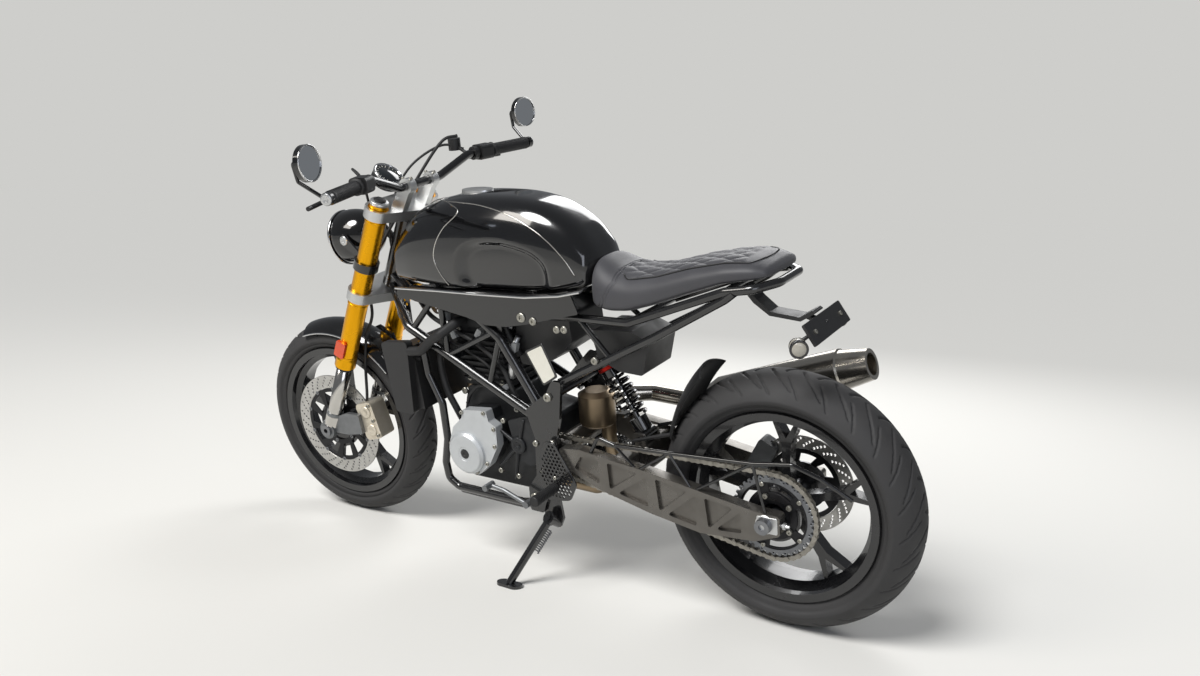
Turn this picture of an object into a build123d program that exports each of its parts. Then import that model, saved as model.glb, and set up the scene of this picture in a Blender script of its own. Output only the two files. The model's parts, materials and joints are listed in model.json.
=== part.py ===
"""A standard motorcycle with a tubular trellis frame, parked on its side stand.

Everything is drawn on the upright bike, in millimetres: X forward, Y to the rider's
left, Z up, with the origin on the ground under the rear axle. The pieces that steer are
drawn straight ahead. At the end each piece is turned with the steering, leaned onto the
stand and moved so that the origin is the bottom centre of the whole machine.
"""

from build123d import *
from math import acos, atan2, cos, degrees, pi, radians, sin, sqrt
import os

os.makedirs("parts", exist_ok=True)

# Driving dimensions: wheels and steering
WHEELBASE = 1374.0
FRONT_TYRE_R = 293.0
FRONT_TYRE_W = 110.0
FRONT_CROWN_R = 57.0
REAR_TYRE_R = 306.0
REAR_TYRE_W = 150.0
REAR_CROWN_R = 82.0
BEAD_R = 215.9
FLANGE_H = 12.0
FRONT_RIM_W = 76.2
REAR_RIM_W = 101.6
RAKE = 25.1
FORK_OFFSET = 31.6
STEER_REST = 3.0
STEER_LOCK = 32.0
LEAN = 11.0

# Driving dimensions: fork
FORK_SPAN = 190.0
FORK_TUBE_D = 54.0
STANCHION_D = 41.0
FORK_BOTTOM = 226.0
FORK_TOP = 728.0
LOWER_CLAMP = 446.0
UPPER_CLAMP = 694.0
CLAMP_T = 28.0
CLAMP_BOSS_D = 68.0
HEAD_TUBE_D = 62.0
STEM_D = 30.0

# Driving dimensions: brakes and drive
FRONT_DISC_D = 300.0
REAR_DISC_D = 240.0
DISC_T = 5.0
FRONT_DISC_Y = 66.0
REAR_DISC_Y = -86.0
CHAIN_PITCH = 15.875
CHAIN_Y = 92.0
REAR_TEETH = 40
FRONT_TEETH = 16
SPROCKET_T = 5.0
FRONT_SPROCKET = (645.0, 360.0)
AXLE_D = 24.0
AXLE_BORE = 14.0
PIVOT = (561.0, 367.0)

# Clearances
FIT = 0.3
RUN = 2.0

# The steering axis, and the fork's own directions
rake = radians(RAKE)
UP_FORK = Vector(-sin(rake), 0, cos(rake))
AHEAD = Vector(cos(rake), 0, sin(rake))
REAR_AXLE = Vector(0, 0, REAR_TYRE_R)
FRONT_AXLE = Vector(WHEELBASE, 0, FRONT_TYRE_R)
STEER_ORIGIN = FRONT_AXLE - AHEAD * FORK_OFFSET


def fork(ahead, left, up):
    """The point ahead of the steering axis, left of it and up it from the axle's level."""
    return STEER_ORIGIN + AHEAD * ahead + Vector(0, left, 0) + UP_FORK * up


def steered(point, turn):
    """The point turned about the steering axis, in degrees to the left."""
    return (point - STEER_ORIGIN).rotate(Axis((0, 0, 0), UP_FORK), turn) + STEER_ORIGIN


def fork_plane(up, ahead=0.0, left=0.0):
    """The plane square to the steering axis, with its X ahead and its Y left."""
    return Plane(origin=fork(ahead, left, up), x_dir=AHEAD, z_dir=UP_FORK)


def side(left):
    """The plane of a side view, its X forward and its Y up; it faces right."""
    return Plane.XZ.offset(-left)


def facing(centre, left):
    """The side view plane with its origin on an axle."""
    return Plane(origin=(centre.X, left, centre.Z), x_dir=(1, 0, 0), z_dir=(0, -1, 0))


def along(start, end):
    """The plane at start that is square to the line to end."""
    return Plane(origin=start, z_dir=Vector(*end) - Vector(*start))


def tube(route, diameter, bend=0.0, mode=Mode.ADD):
    """A round bar along a route, with its corners bent to a radius."""
    with BuildLine() as line:
        if bend and len(route) > 2:
            FilletPolyline(*route, radius=bend)
        else:
            Polyline(*route)
    with BuildSketch(Plane(origin=line.line @ 0, z_dir=line.line % 0)) as ring:
        Circle(diameter / 2)
    sweep(ring.sketch, path=line.line, mode=mode)


def bar(start, end, diameter, mode=Mode.ADD):
    """A straight round bar from one point to another."""
    with BuildSketch(along(start, end)) as ring:
        Circle(diameter / 2)
    extrude(ring.sketch, amount=(Vector(*end) - Vector(*start)).length, mode=mode)


def plate(outline, left, thickness, corner=0.0, mode=Mode.ADD):
    """A flat plate seen from the side, centred left of the middle of the bike."""
    with BuildSketch(side(left)) as face:
        with BuildLine():
            Polyline(*outline, close=True)
        make_face()
        if corner:
            fillet(face.vertices(), radius=corner)
    extrude(face.sketch, amount=thickness / 2, both=True, mode=mode)


def turned(centre, outline, arc=360.0, mode=Mode.ADD):
    """A body of revolution about a line across the bike; its outline is (left, radius)."""
    across = Plane(origin=(centre.X, 0, centre.Z), x_dir=(0, 1, 0), z_dir=(1, 0, 0))
    with BuildSketch(across) as section:
        with BuildLine():
            Polyline(*outline, close=True)
        make_face()
    axis = Axis((centre.X, 0, centre.Z), (0, 1, 0))
    revolve(section.sketch, axis=axis, revolution_arc=arc, mode=mode)


def rounded_loft(rows, low_corner):
    """A body lofted through upright sections, from rows of
    (forward, half width, bottom, top, upper corner radius), with one lower corner radius."""
    sections = []
    for forward, half_width, bottom, top, corner in rows:
        with BuildSketch(Plane(origin=(forward, 0, 0), x_dir=(0, 1, 0), z_dir=(1, 0, 0))) as ring:
            Polygon((-half_width, bottom), (half_width, bottom), (half_width, top), (-half_width, top), align=None)
            corners = ring.vertices().sort_by(Axis.Y)
            fillet(corners[:2], radius=low_corner)
            fillet(ring.vertices().group_by(Axis.Y)[-1], radius=corner)
        sections.append(ring.sketch)
    loft(sections)


pieces = {}
on_fork = set()


def keep(builder, label, steers=False):
    """Name a finished piece and note whether it turns with the fork."""
    builder.part.label = label
    pieces[label] = builder.part
    if steers:
        on_fork.add(label)


# Frame: head tube, bent upper and lower rails, trellis braces and swing arm plates
HEAD_LOW = LOWER_CLAMP + CLAMP_T + 8
HEAD_HIGH = UPPER_CLAMP - 8
RAIL_Y = 110.0
RAIL_D = 25.0
SEAT_RAIL_Y = 108.0
SEAT_RAIL_D = 20.0
UPPER_RAIL = (
    fork(-14, 20, HEAD_LOW + 38),
    Vector(960, RAIL_Y, 722),
    Vector(860, RAIL_Y, 716),
    Vector(770, RAIL_Y, 694),
    Vector(700, RAIL_Y, 642),
    Vector(590, RAIL_Y, 468),
)
LOWER_RAIL = (
    fork(-14, 20, HEAD_LOW + 8),
    Vector(1000, RAIL_Y, 640),
    Vector(620, RAIL_Y, 452),
)
BRACE_D = 16.0
# lower end and upper end of each brace, as forward and up
BRACES = (
    ((985, 632), (905, 718)),
    ((872, 577), (880, 716)),
    ((872, 577), (716, 654)),
    ((745, 514), (700, 642)),
)
SWING_PLATE = (
    (628, 470), (590, 500), (562, 520), (542, 556), (515, 556), (528, 460), (541, 410),
    (536, 330), (590, 228), (600, 200), (640, 200), (640, 262), (612, 300), (606, 400),
)
SWING_PLATE_Y = 123.0
SWING_PLATE_T = 10.0
CROSS_TUBE = (562.0, 506.0)
CROSS_TUBE_D = 20.0
TANK_BOTTOM = 755.0
TANK_MOUNT = (925.0, 55.0)
TANK_BAR_Z = 720.0
SUBFRAME_TAB = ((692, 638), (728, 662), (728, 706), (692, 706))
SHOCK_TOP = Vector(478, 0, 592)
SHOCK_LUG_Y = 31.0
SHOCK_LUG_T = 8.0
SHOCK_BOLT_D = 10.0
SHOCK_LUG = ((546, 518), (566, 512), (574, 522), (492, 610), (466, 606), (462, 584))

# Side stand: its pivot on the frame, its foot on the ground and its folded direction
GROUND = -REAR_CROWN_R * (1 - cos(radians(LEAN)))
FOOT_T = 7.0
FOOT_Y = 240.0
STAND_PIVOT = Vector(575, 138, 195)
STAND_FOOT = Vector(640, FOOT_Y, (GROUND + FOOT_T + FOOT_Y * sin(radians(LEAN))) / cos(radians(LEAN)))
STAND_FOLDED = Vector(-0.97, 0.17, 0.06).normalized()
stand_line = (STAND_FOOT - STAND_PIVOT).normalized()
stand_pin = stand_line.cross(STAND_FOLDED).normalized()
STAND_SWING = degrees(acos(stand_line.dot(STAND_FOLDED)))
STAND_BRACKET = ((556, 252), (604, 252), (604, 176), (560, 164), (548, 190))
STAND_EYE_T = 14.0
STAND_PIN_D = 12.0

with BuildPart() as main_frame:
    bar(fork(0, 0, HEAD_LOW), fork(0, 0, HEAD_HIGH), HEAD_TUBE_D)
    tube(UPPER_RAIL, RAIL_D, 40)
    tube(LOWER_RAIL, RAIL_D, 40)
    for low, high in BRACES:
        bar((low[0], RAIL_Y, low[1]), (high[0], RAIL_Y, high[1]), BRACE_D)
    plate(SWING_PLATE, SWING_PLATE_Y, SWING_PLATE_T, 6)
    plate(SUBFRAME_TAB, 90 + SEAT_RAIL_D / 2 + FIT + 4, 8, 5)
    bar((TANK_MOUNT[0], TANK_MOUNT[1], TANK_BAR_Z), (TANK_MOUNT[0], TANK_MOUNT[1], TANK_BOTTOM - FIT), 26)
    plate(SHOCK_LUG, SHOCK_LUG_Y, SHOCK_LUG_T, 3)
    mirror(about=Plane.XZ)
    for forward, up, left, diameter in (
        (CROSS_TUBE[0], CROSS_TUBE[1], SWING_PLATE_Y, CROSS_TUBE_D),
        (700, 642, RAIL_Y, 20),
        (TANK_MOUNT[0], TANK_BAR_Z, RAIL_Y, 16),
    ):
        bar((forward, -left, up), (forward, left, up), diameter)
    bar((SHOCK_TOP.X, -60, SHOCK_TOP.Z), (SHOCK_TOP.X, 60, SHOCK_TOP.Z), SHOCK_BOLT_D + 2 * FIT, Mode.SUBTRACT)
    plate(STAND_BRACKET, 115, 8, 3.5)
    bar(STAND_PIVOT - stand_pin * 34, STAND_PIVOT - stand_pin * (STAND_EYE_T / 2 + FIT), 28)
    bar(STAND_PIVOT - stand_pin * 20, STAND_PIVOT + stand_pin * (STAND_EYE_T / 2 + 5), STAND_PIN_D)
    bar(STAND_PIVOT + stand_pin * (STAND_EYE_T / 2 + FIT), STAND_PIVOT + stand_pin * (STAND_EYE_T / 2 + 6), 20)
    bar(fork(0, 0, HEAD_LOW - 1), fork(0, 0, HEAD_HIGH + 1), STEM_D + 2 * FIT, Mode.SUBTRACT)
    with Locations((PIVOT[0], 0, PIVOT[1])):
        Cylinder(9, 300, rotation=(90, 0, 0), mode=Mode.SUBTRACT)
keep(main_frame, "main_frame")

# Belly rails: the guard tubes that run down before the engine and back beneath it
BELLY_Y = 118.0
BELLY_D = 20.0
BELLY_Z = 212.0
SKID = ((900, 226), (872, 198), (668, 196), (646, 226), (668, 222), (868, 224))
with BuildPart() as belly_rails:
    tube(
        (
            Vector(951, BELLY_Y, 608),
            Vector(942, BELLY_Y, 520),
            Vector(905, BELLY_Y, 443),
            Vector(902, BELLY_Y, 345),
            Vector(918, BELLY_Y, 277),
            Vector(912, BELLY_Y, 231),
            Vector(880, BELLY_Y, BELLY_Z),
            Vector(640 + FIT, BELLY_Y, BELLY_Z),
        ),
        BELLY_D,
        22,
    )
    plate(SKID, BELLY_Y, 5, 1)
    tube(LOWER_RAIL, RAIL_D + 2 * FIT, 40, Mode.SUBTRACT)
    mirror(about=Plane.XZ)
keep(belly_rails, "belly_rails")

# Subframe: upper and lower seat rails joined by a loop behind the seat
with BuildPart() as subframe:
    tube(
        (
            Vector(732, 90, 697),
            Vector(500, 90, 707),
            Vector(330, SEAT_RAIL_Y, 715),
            Vector(90, SEAT_RAIL_Y, 806),
            Vector(30, SEAT_RAIL_Y - 4, 815),
            Vector(-8, 52, 821),
            Vector(-8, 0, 821),
        ),
        SEAT_RAIL_D,
        28,
    )
    tube(
        (
            Vector(530, SEAT_RAIL_Y - FIT, 548),
            Vector(263, SEAT_RAIL_Y, 689),
            Vector(90, SEAT_RAIL_Y, 790),
            Vector(70, SEAT_RAIL_Y, 806),
        ),
        SEAT_RAIL_D,
        24,
    )
    bar((471, 94, 706), (384, SEAT_RAIL_Y, 626), 14)
    mirror(about=Plane.XZ)
    bar((330, -SEAT_RAIL_Y, 715), (330, SEAT_RAIL_Y, 715), 16)
    bar((90, -SEAT_RAIL_Y, 806), (90, SEAT_RAIL_Y, 806), 16)
keep(subframe, "subframe")

# Wheels: rim with hub and five forked spokes, tyre
SPOKES = 5
HUB_R = 32.0
# half of one spoke, as radius and half width, from hub to rim
SPOKE = ((26, 13), (95, 9), (140, 12), (207, 38))
SPOKE_SLOT = ((152, 0), (196, -24), (196, 24))


def rim_outline(half):
    """The section of a cast rim across the wheel, half its bead width given."""
    flange = BEAD_R + FLANGE_H
    return (
        (-half - 9, flange - 3), (-half - 2, flange), (-half, BEAD_R), (-half + 14, BEAD_R - 1),
        (-18, BEAD_R - 14), (18, BEAD_R - 14), (half - 14, BEAD_R - 1), (half, BEAD_R),
        (half + 2, flange), (half + 9, flange - 3), (half + 7, BEAD_R - 9), (half - 8, BEAD_R - 10),
        (20, BEAD_R - 24), (-20, BEAD_R - 24), (-half + 8, BEAD_R - 10), (-half - 7, BEAD_R - 9),
    )


def wheel(centre, half, spoke_t, hub_right, hub_left):
    """A cast wheel: hub, spokes and rim."""
    turned(centre, rim_outline(half))
    turned(centre, ((hub_right, AXLE_D / 2 + FIT), (hub_left, AXLE_D / 2 + FIT),
                    (hub_left, HUB_R), (hub_right, HUB_R)))
    right_side = tuple((r, -w) for r, w in SPOKE)
    left_side = tuple((r, w) for r, w in reversed(SPOKE))
    with BuildSketch(facing(centre, 0)) as spokes:
        with PolarLocations(0, SPOKES, start_angle=90):
            Polygon(*right_side, *left_side, align=None)
            Polygon(*SPOKE_SLOT, align=None, mode=Mode.SUBTRACT)
    extrude(spokes.sketch, amount=spoke_t / 2, both=True)


def tyre(centre, half, radius, width, crown):
    """A tyre on its bead seats: sidewalls and a crown of one radius."""
    shoulder = radius - crown + sqrt(crown**2 - (width / 2) ** 2)
    lip = BEAD_R + FLANGE_H + FIT
    across = Plane(origin=(centre.X, 0, centre.Z), x_dir=(0, 1, 0), z_dir=(1, 0, 0))
    with BuildSketch(across) as section:
        with BuildLine():
            ThreePointArc((-width / 2, shoulder), (0, radius), (width / 2, shoulder))
            Polyline(
                (width / 2, shoulder), (width / 2 - 4, shoulder - 12), (half + 2, lip),
                (half - 1, BEAD_R + FIT), (1 - half, BEAD_R + FIT), (-half - 2, lip),
                (4 - width / 2, shoulder - 12), (-width / 2, shoulder),
            )
        make_face()
    revolve(section.sketch, axis=Axis((centre.X, 0, centre.Z), (0, 1, 0)))


FRONT_HUB = (-52.0, 52.0)
REAR_HUB = (-78.0, 52.0)
with BuildPart() as front_rim:
    wheel(FRONT_AXLE, FRONT_RIM_W / 2, 26, *FRONT_HUB)
    carrier = FRONT_DISC_Y - DISC_T / 2
    turned(FRONT_AXLE, ((40, 28), (carrier, 28), (carrier, 70), (carrier - 6, 70), (46, 40)))
    turned(FRONT_AXLE, ((-53, AXLE_D / 2 + FIT), (70, AXLE_D / 2 + FIT), (70, 12), (-53, 12)),
           mode=Mode.SUBTRACT)
keep(front_rim, "front_rim", steers=True)

with BuildPart() as front_tyre:
    tyre(FRONT_AXLE, FRONT_RIM_W / 2, FRONT_TYRE_R, FRONT_TYRE_W, FRONT_CROWN_R)
keep(front_tyre, "front_tyre", steers=True)

with BuildPart() as rear_rim:
    wheel(REAR_AXLE, REAR_RIM_W / 2, 32, *REAR_HUB)
    carrier = REAR_DISC_Y + DISC_T / 2
    turned(REAR_AXLE, ((-70, 28), (carrier, 28), (carrier, 58), (carrier + 6, 58), (-70, 40)))
    seat = CHAIN_Y - SPROCKET_T / 2
    turned(REAR_AXLE, ((48, 28), (seat, 28), (seat, 62), (seat - 8, 62), (60, 50)))
    turned(REAR_AXLE, ((-90, AXLE_D / 2 + FIT), (95, AXLE_D / 2 + FIT), (95, 12), (-90, 12)),
           mode=Mode.SUBTRACT)
keep(rear_rim, "rear_rim")

with BuildPart() as rear_tyre:
    tyre(REAR_AXLE, REAR_RIM_W / 2, REAR_TYRE_R, REAR_TYRE_W, REAR_CROWN_R)
keep(rear_tyre, "rear_tyre")


def at_angle(centre, radius, angle):
    """The point on a circle about an axle at an angle from forward, as forward and up."""
    return (centre.X + radius * cos(angle), centre.Z + radius * sin(angle))


DISC_TRACK = 32.0
WINDOW_W = 20.0
WINDOW_SKEW = 24.0


def disc(centre, left, diameter, bore, windows):
    """A brake disc with a ring of slanting windows between its track and its fixing ring."""
    inner = bore / 2 + 14
    outer = diameter / 2 - DISC_TRACK
    lean = WINDOW_SKEW / 2
    half = WINDOW_W / 2
    window = ((inner, -lean - half), (outer, lean - half), (outer, lean + half), (inner, half - lean))
    with BuildSketch(facing(centre, left)) as face:
        Circle(diameter / 2)
        Circle(bore / 2, mode=Mode.SUBTRACT)
        with PolarLocations(0, windows):
            Polygon(*window, align=None, mode=Mode.SUBTRACT)
    extrude(face.sketch, amount=DISC_T / 2, both=True)


with BuildPart() as front_disc:
    disc(FRONT_AXLE, FRONT_DISC_Y, FRONT_DISC_D, 96, 10)
keep(front_disc, "front_disc", steers=True)

with BuildPart() as rear_disc:
    disc(REAR_AXLE, REAR_DISC_Y, REAR_DISC_D, 76, 8)
keep(rear_disc, "rear_disc")

# Rear sprocket: 40 teeth, their tips inside the ring of chain pins
REAR_PITCH_R = CHAIN_PITCH / (2 * sin(pi / REAR_TEETH))
FRONT_PITCH_R = CHAIN_PITCH / (2 * sin(pi / FRONT_TEETH))
PIN_D = 5.5
TOOTH_TIP = REAR_PITCH_R - PIN_D / 2 - RUN
TOOTH_H = 7.0
SPROCKET_ARMS = 5
with BuildPart() as rear_sprocket:
    with BuildSketch(facing(REAR_AXLE, CHAIN_Y)) as face:
        Circle(TOOTH_TIP - TOOTH_H + 1)
        with PolarLocations(0, REAR_TEETH):
            Polygon((TOOTH_TIP - TOOTH_H, -5), (TOOTH_TIP, -2), (TOOTH_TIP, 2),
                    (TOOTH_TIP - TOOTH_H, 5), align=None)
        Circle(40, mode=Mode.SUBTRACT)
        with PolarLocations(0, SPROCKET_ARMS, start_angle=36):
            Polygon((56, -14), (84, -24), (84, 24), (56, 14), align=None, mode=Mode.SUBTRACT)
    extrude(face.sketch, amount=SPROCKET_T / 2, both=True)
keep(rear_sprocket, "rear_sprocket")

# Chain: two side strips round both sprockets, pins between them and outer plates
STRIP_H = 12.0
STRIP_T = 2.0
CHAIN_GAP = 9.0
PLATE_T = 1.6
front_centre = Vector(FRONT_SPROCKET[0], 0, FRONT_SPROCKET[1])
run = front_centre - REAR_AXLE
run_angle = atan2(run.Z, run.X)
wrap = acos((REAR_PITCH_R - FRONT_PITCH_R) / run.length)
straight = sqrt(run.length**2 - (REAR_PITCH_R - FRONT_PITCH_R) ** 2)


def chain_point(distance):
    """The point and the direction of the chain's line a distance along it."""
    front_arc = 2 * wrap * FRONT_PITCH_R
    rear_arc = (2 * pi - 2 * wrap) * REAR_PITCH_R
    top = run_angle + wrap
    bottom = run_angle - wrap
    if distance < straight:
        start = at_angle(REAR_AXLE, REAR_PITCH_R, top)
        heading = top - pi / 2
        return (start[0] + distance * cos(heading), start[1] + distance * sin(heading)), heading
    distance -= straight
    if distance < front_arc:
        angle = top - distance / FRONT_PITCH_R
        return at_angle(front_centre, FRONT_PITCH_R, angle), angle - pi / 2
    distance -= front_arc
    if distance < straight:
        start = at_angle(front_centre, FRONT_PITCH_R, bottom)
        heading = bottom - pi / 2
        return (start[0] + distance * cos(heading), start[1] + distance * sin(heading)), heading
    distance -= straight
    angle = bottom - min(distance, rear_arc) / REAR_PITCH_R
    return at_angle(REAR_AXLE, REAR_PITCH_R, angle), angle - pi / 2


CHAIN_LENGTH = 2 * straight + 2 * wrap * FRONT_PITCH_R + (2 * pi - 2 * wrap) * REAR_PITCH_R
LINKS = 2 * round(CHAIN_LENGTH / CHAIN_PITCH / 2)


def chain_loop(offset):
    """The closed face inside the chain's line moved out by an offset."""
    rear = REAR_PITCH_R + offset
    front = FRONT_PITCH_R + offset
    top = run_angle + wrap
    bottom = run_angle - wrap
    with BuildLine() as loop:
        rear_top = at_angle(REAR_AXLE, rear, top)
        rear_bottom = at_angle(REAR_AXLE, rear, bottom)
        front_top = at_angle(front_centre, front, top)
        front_bottom = at_angle(front_centre, front, bottom)
        Line(rear_top, front_top)
        ThreePointArc(front_top, at_angle(front_centre, front, run_angle), front_bottom)
        Line(front_bottom, rear_bottom)
        ThreePointArc(rear_bottom, at_angle(REAR_AXLE, rear, run_angle + pi), rear_top)
    return make_face(loop.edges())


with BuildPart() as chain:
    for left in (CHAIN_Y - CHAIN_GAP / 2 - STRIP_T / 2, CHAIN_Y + CHAIN_GAP / 2 + STRIP_T / 2):
        with BuildSketch(side(left)) as strip:
            chain_loop(STRIP_H / 2)
        with BuildSketch(side(left)) as inside:
            chain_loop(-STRIP_H / 2)
        extrude(strip.sketch, amount=STRIP_T / 2, both=True)
        extrude(inside.sketch, amount=STRIP_T / 2, both=True, mode=Mode.SUBTRACT)
    with BuildSketch(side(CHAIN_Y)) as pins:
        for link in range(LINKS):
            point, heading = chain_point(link * CHAIN_LENGTH / LINKS)
            with Locations(Location(point, degrees(heading))):
                Rectangle(PIN_D - 1.5, PIN_D - 1.5)
    extrude(pins.sketch, amount=CHAIN_GAP / 2, both=True)
keep(chain, "chain")

# Swing arm: pivot tube, cross beam and two arms with open lattice sides
ARM_Y = 121.0
ARM_T = 30.0
ARM = (
    (531, 345), (531, 390), (472, 396), (413, 388), (279, 373), (153, 352), (16, 331),
    (-34, 330), (-34, 284), (24, 260), (158, 250), (286, 271), (420, 303),
)
# recesses in each arm's outer face, as triangles between the ribs
ARM_RECESS = 9.0
ARM_WINDOWS = (
    ((56, 272), (56, 323), (120, 266)),
    ((136, 265), (74, 328), (144, 338)),
    ((166, 265), (164, 342), (240, 277)),
    ((260, 281), (186, 346), (268, 360)),
    ((290, 286), (290, 362), (370, 304)),
    ((392, 309), (312, 366), (396, 376)),
    ((420, 318), (420, 377), (470, 378), (490, 346)),
)
SHOCK_LOW = Vector(366, 0, 402)
with BuildPart() as swing_arm:
    for hand in (1, -1):
        plate(ARM, hand * ARM_Y, ARM_T, 8)
        for window in ARM_WINDOWS:
            plate(window, hand * (ARM_Y + ARM_T / 2), 2 * ARM_RECESS, 4, Mode.SUBTRACT)
    bar((PIVOT[0], -111, PIVOT[1]), (PIVOT[0], 111, PIVOT[1]), 52)
    for hand in (1, -1):
        plate(((531, 345), (565, 342), (565, 390), (531, 388)), hand * 96, 30)
    plate(((350, 312), (405, 312), (405, 378), (360, 378)), 0, 2 * (ARM_Y - ARM_T / 2) + 8, 8)
    for hand in (1, -1):
        plate(((346, 374), (392, 374), (382, 414), (352, 414)), hand * SHOCK_LUG_Y, SHOCK_LUG_T, 6)
    bar((SHOCK_LOW.X, -60, SHOCK_LOW.Z), (SHOCK_LOW.X, 60, SHOCK_LOW.Z), SHOCK_BOLT_D + 2 * FIT, Mode.SUBTRACT)
    with Locations((PIVOT[0], 0, PIVOT[1])):
        Cylinder(9, 300, rotation=(90, 0, 0), mode=Mode.SUBTRACT)
    with Locations((REAR_AXLE.X, 0, REAR_AXLE.Z)):
        Cylinder(AXLE_D / 2 + FIT, 400, rotation=(90, 0, 0), mode=Mode.SUBTRACT)
keep(swing_arm, "swing_arm")

with BuildPart() as pivot_bolt:
    bar((PIVOT[0], -136, PIVOT[1]), (PIVOT[0], 136, PIVOT[1]), 17.4)
    for hand in (1, -1):
        edge = SWING_PLATE_Y + SWING_PLATE_T / 2
        bar((PIVOT[0], hand * edge, PIVOT[1]), (PIVOT[0], hand * (edge + 8), PIVOT[1]), 30)
keep(pivot_bolt, "pivot_bolt")

# Axles with their spacers and nuts
ARM_OUT = ARM_Y + ARM_T / 2
ARM_IN = ARM_Y - ARM_T / 2
with BuildPart() as rear_axle:
    turned(REAR_AXLE, (
        (-ARM_OUT - 14, AXLE_BORE / 2), (-ARM_OUT - 14, 17), (-ARM_OUT, 17), (-ARM_OUT, AXLE_D / 2),
        (ARM_OUT, AXLE_D / 2), (ARM_OUT, 19), (ARM_OUT + 18, 17), (ARM_OUT + 18, AXLE_BORE / 2),
    ))
keep(rear_axle, "rear_axle")

LEG_Y = FORK_SPAN / 2
FOOT_HALF = 20.0
with BuildPart() as front_axle:
    turned(FRONT_AXLE, (
        (-LEG_Y - FOOT_HALF - 6, AXLE_BORE / 2), (-LEG_Y - FOOT_HALF - 6, 17),
        (-LEG_Y - FOOT_HALF, 17), (-LEG_Y - FOOT_HALF, AXLE_D / 2),
        (LEG_Y + FOOT_HALF, AXLE_D / 2), (LEG_Y + FOOT_HALF, 17),
        (LEG_Y + FOOT_HALF + 6, 17), (LEG_Y + FOOT_HALF + 6, AXLE_BORE / 2),
    ))
keep(front_axle, "front_axle", steers=True)

# Fork: gold outer tubes above, bright stanchions and cast feet below
with BuildPart() as fork_tubes:
    for hand in (1, -1):
        with BuildSketch(Plane(origin=fork(FORK_OFFSET, hand * LEG_Y, 0),
                               x_dir=AHEAD, z_dir=Vector(0, -1, 0))) as half:
            with BuildLine():
                Polyline(
                    (0, FORK_BOTTOM), (29, FORK_BOTTOM), (29, FORK_BOTTOM + 26),
                    (FORK_TUBE_D / 2, FORK_BOTTOM + 32), (FORK_TUBE_D / 2, FORK_TOP - 8),
                    (24, FORK_TOP - 6), (24, FORK_TOP + 6), (20, FORK_TOP + 10),
                    (0, FORK_TOP + 10), close=True,
                )
            make_face()
        revolve(half.sketch, axis=Axis(fork(FORK_OFFSET, hand * LEG_Y, 0), UP_FORK))
keep(fork_tubes, "fork_tubes", steers=True)

# Reflectors: one on the outer side of each fork tube, just above its lower end
with BuildPart() as reflectors:
    for hand in (1, -1):
        seated = fork(FORK_OFFSET + 3, hand * (LEG_Y + FORK_TUBE_D / 2 + FIT), FORK_BOTTOM + 62)
        with BuildSketch(Plane(origin=seated, x_dir=AHEAD, z_dir=Vector(0, hand, 0))) as pad:
            RectangleRounded(32, 48, 5)
        extrude(pad.sketch, amount=8)
keep(reflectors, "reflectors", steers=True)

FOOT_TOP = 62.0
CALIPER_HALF = 27.0
CALIPER_LUG = ((1356, 330), (1364, 286), (1300, 286), (1246, 296), (1252, 352), (1296, 352))
with BuildPart() as fork_legs:
    for hand in (1, -1):
        bar(fork(FORK_OFFSET, hand * LEG_Y, FOOT_TOP - 2), fork(FORK_OFFSET, hand * LEG_Y, FORK_BOTTOM),
            STANCHION_D)
        bar(fork(FORK_OFFSET, hand * LEG_Y, 20), fork(FORK_OFFSET, hand * LEG_Y, FOOT_TOP), 47)
        bar((FRONT_AXLE.X, hand * (LEG_Y - FOOT_HALF), FRONT_AXLE.Z),
            (FRONT_AXLE.X, hand * (LEG_Y + FOOT_HALF), FRONT_AXLE.Z), 52)
    plate(CALIPER_LUG, FRONT_DISC_Y + CALIPER_HALF + FIT + 6, 12, 4)
    bar((FRONT_AXLE.X, -200, FRONT_AXLE.Z), (FRONT_AXLE.X, 200, FRONT_AXLE.Z),
        AXLE_D + 2 * FIT, Mode.SUBTRACT)
keep(fork_legs, "fork_legs", steers=True)


def clamp(up, boss_r, stem_r):
    """A fork clamp: two split bosses round the tubes joined to the steering stem."""
    with BuildSketch(fork_plane(up)) as shape:
        with Locations((FORK_OFFSET, LEG_Y), (FORK_OFFSET, -LEG_Y)):
            Circle(boss_r)
        Circle(stem_r)
        make_hull()
    with BuildSketch(fork_plane(up)) as bores:
        with Locations((FORK_OFFSET, LEG_Y), (FORK_OFFSET, -LEG_Y)):
            Circle(FORK_TUBE_D / 2 + FIT)
    with BuildSketch(fork_plane(up)) as hollows:
        with Locations((FORK_OFFSET + 22, 0)):
            Rectangle(30, LEG_Y)
    extrude(shape.sketch, amount=CLAMP_T)
    extrude(bores.sketch, amount=CLAMP_T, mode=Mode.SUBTRACT)
    extrude(hollows.sketch, amount=CLAMP_T / 3, mode=Mode.SUBTRACT)


with BuildPart() as lower_clamp:
    clamp(LOWER_CLAMP, CLAMP_BOSS_D / 2, 30)
    bar(fork(0, 0, LOWER_CLAMP), fork(0, 0, UPPER_CLAMP), STEM_D)
keep(lower_clamp, "lower_clamp", steers=True)

# Handlebar: one tube, symmetrical about the middle
BAR_D = 22.2
BAR_CENTRE = fork(-7.0, 0, 792.2)
BAR_KNEE = fork(-6.3, 190, 836.1)
BAR_END = fork(-56.1, 392, 859.4)
CLAMP_HALF = 62.0
with BuildPart() as handlebar:
    half_route = (
        Vector(BAR_CENTRE.X, 80, BAR_CENTRE.Z),
        BAR_KNEE,
        BAR_END,
    )
    mirrored = tuple(Vector(p.X, -p.Y, p.Z) for p in reversed(half_route))
    tube(mirrored + half_route, BAR_D, 45)
keep(handlebar, "handlebar", steers=True)


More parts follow.
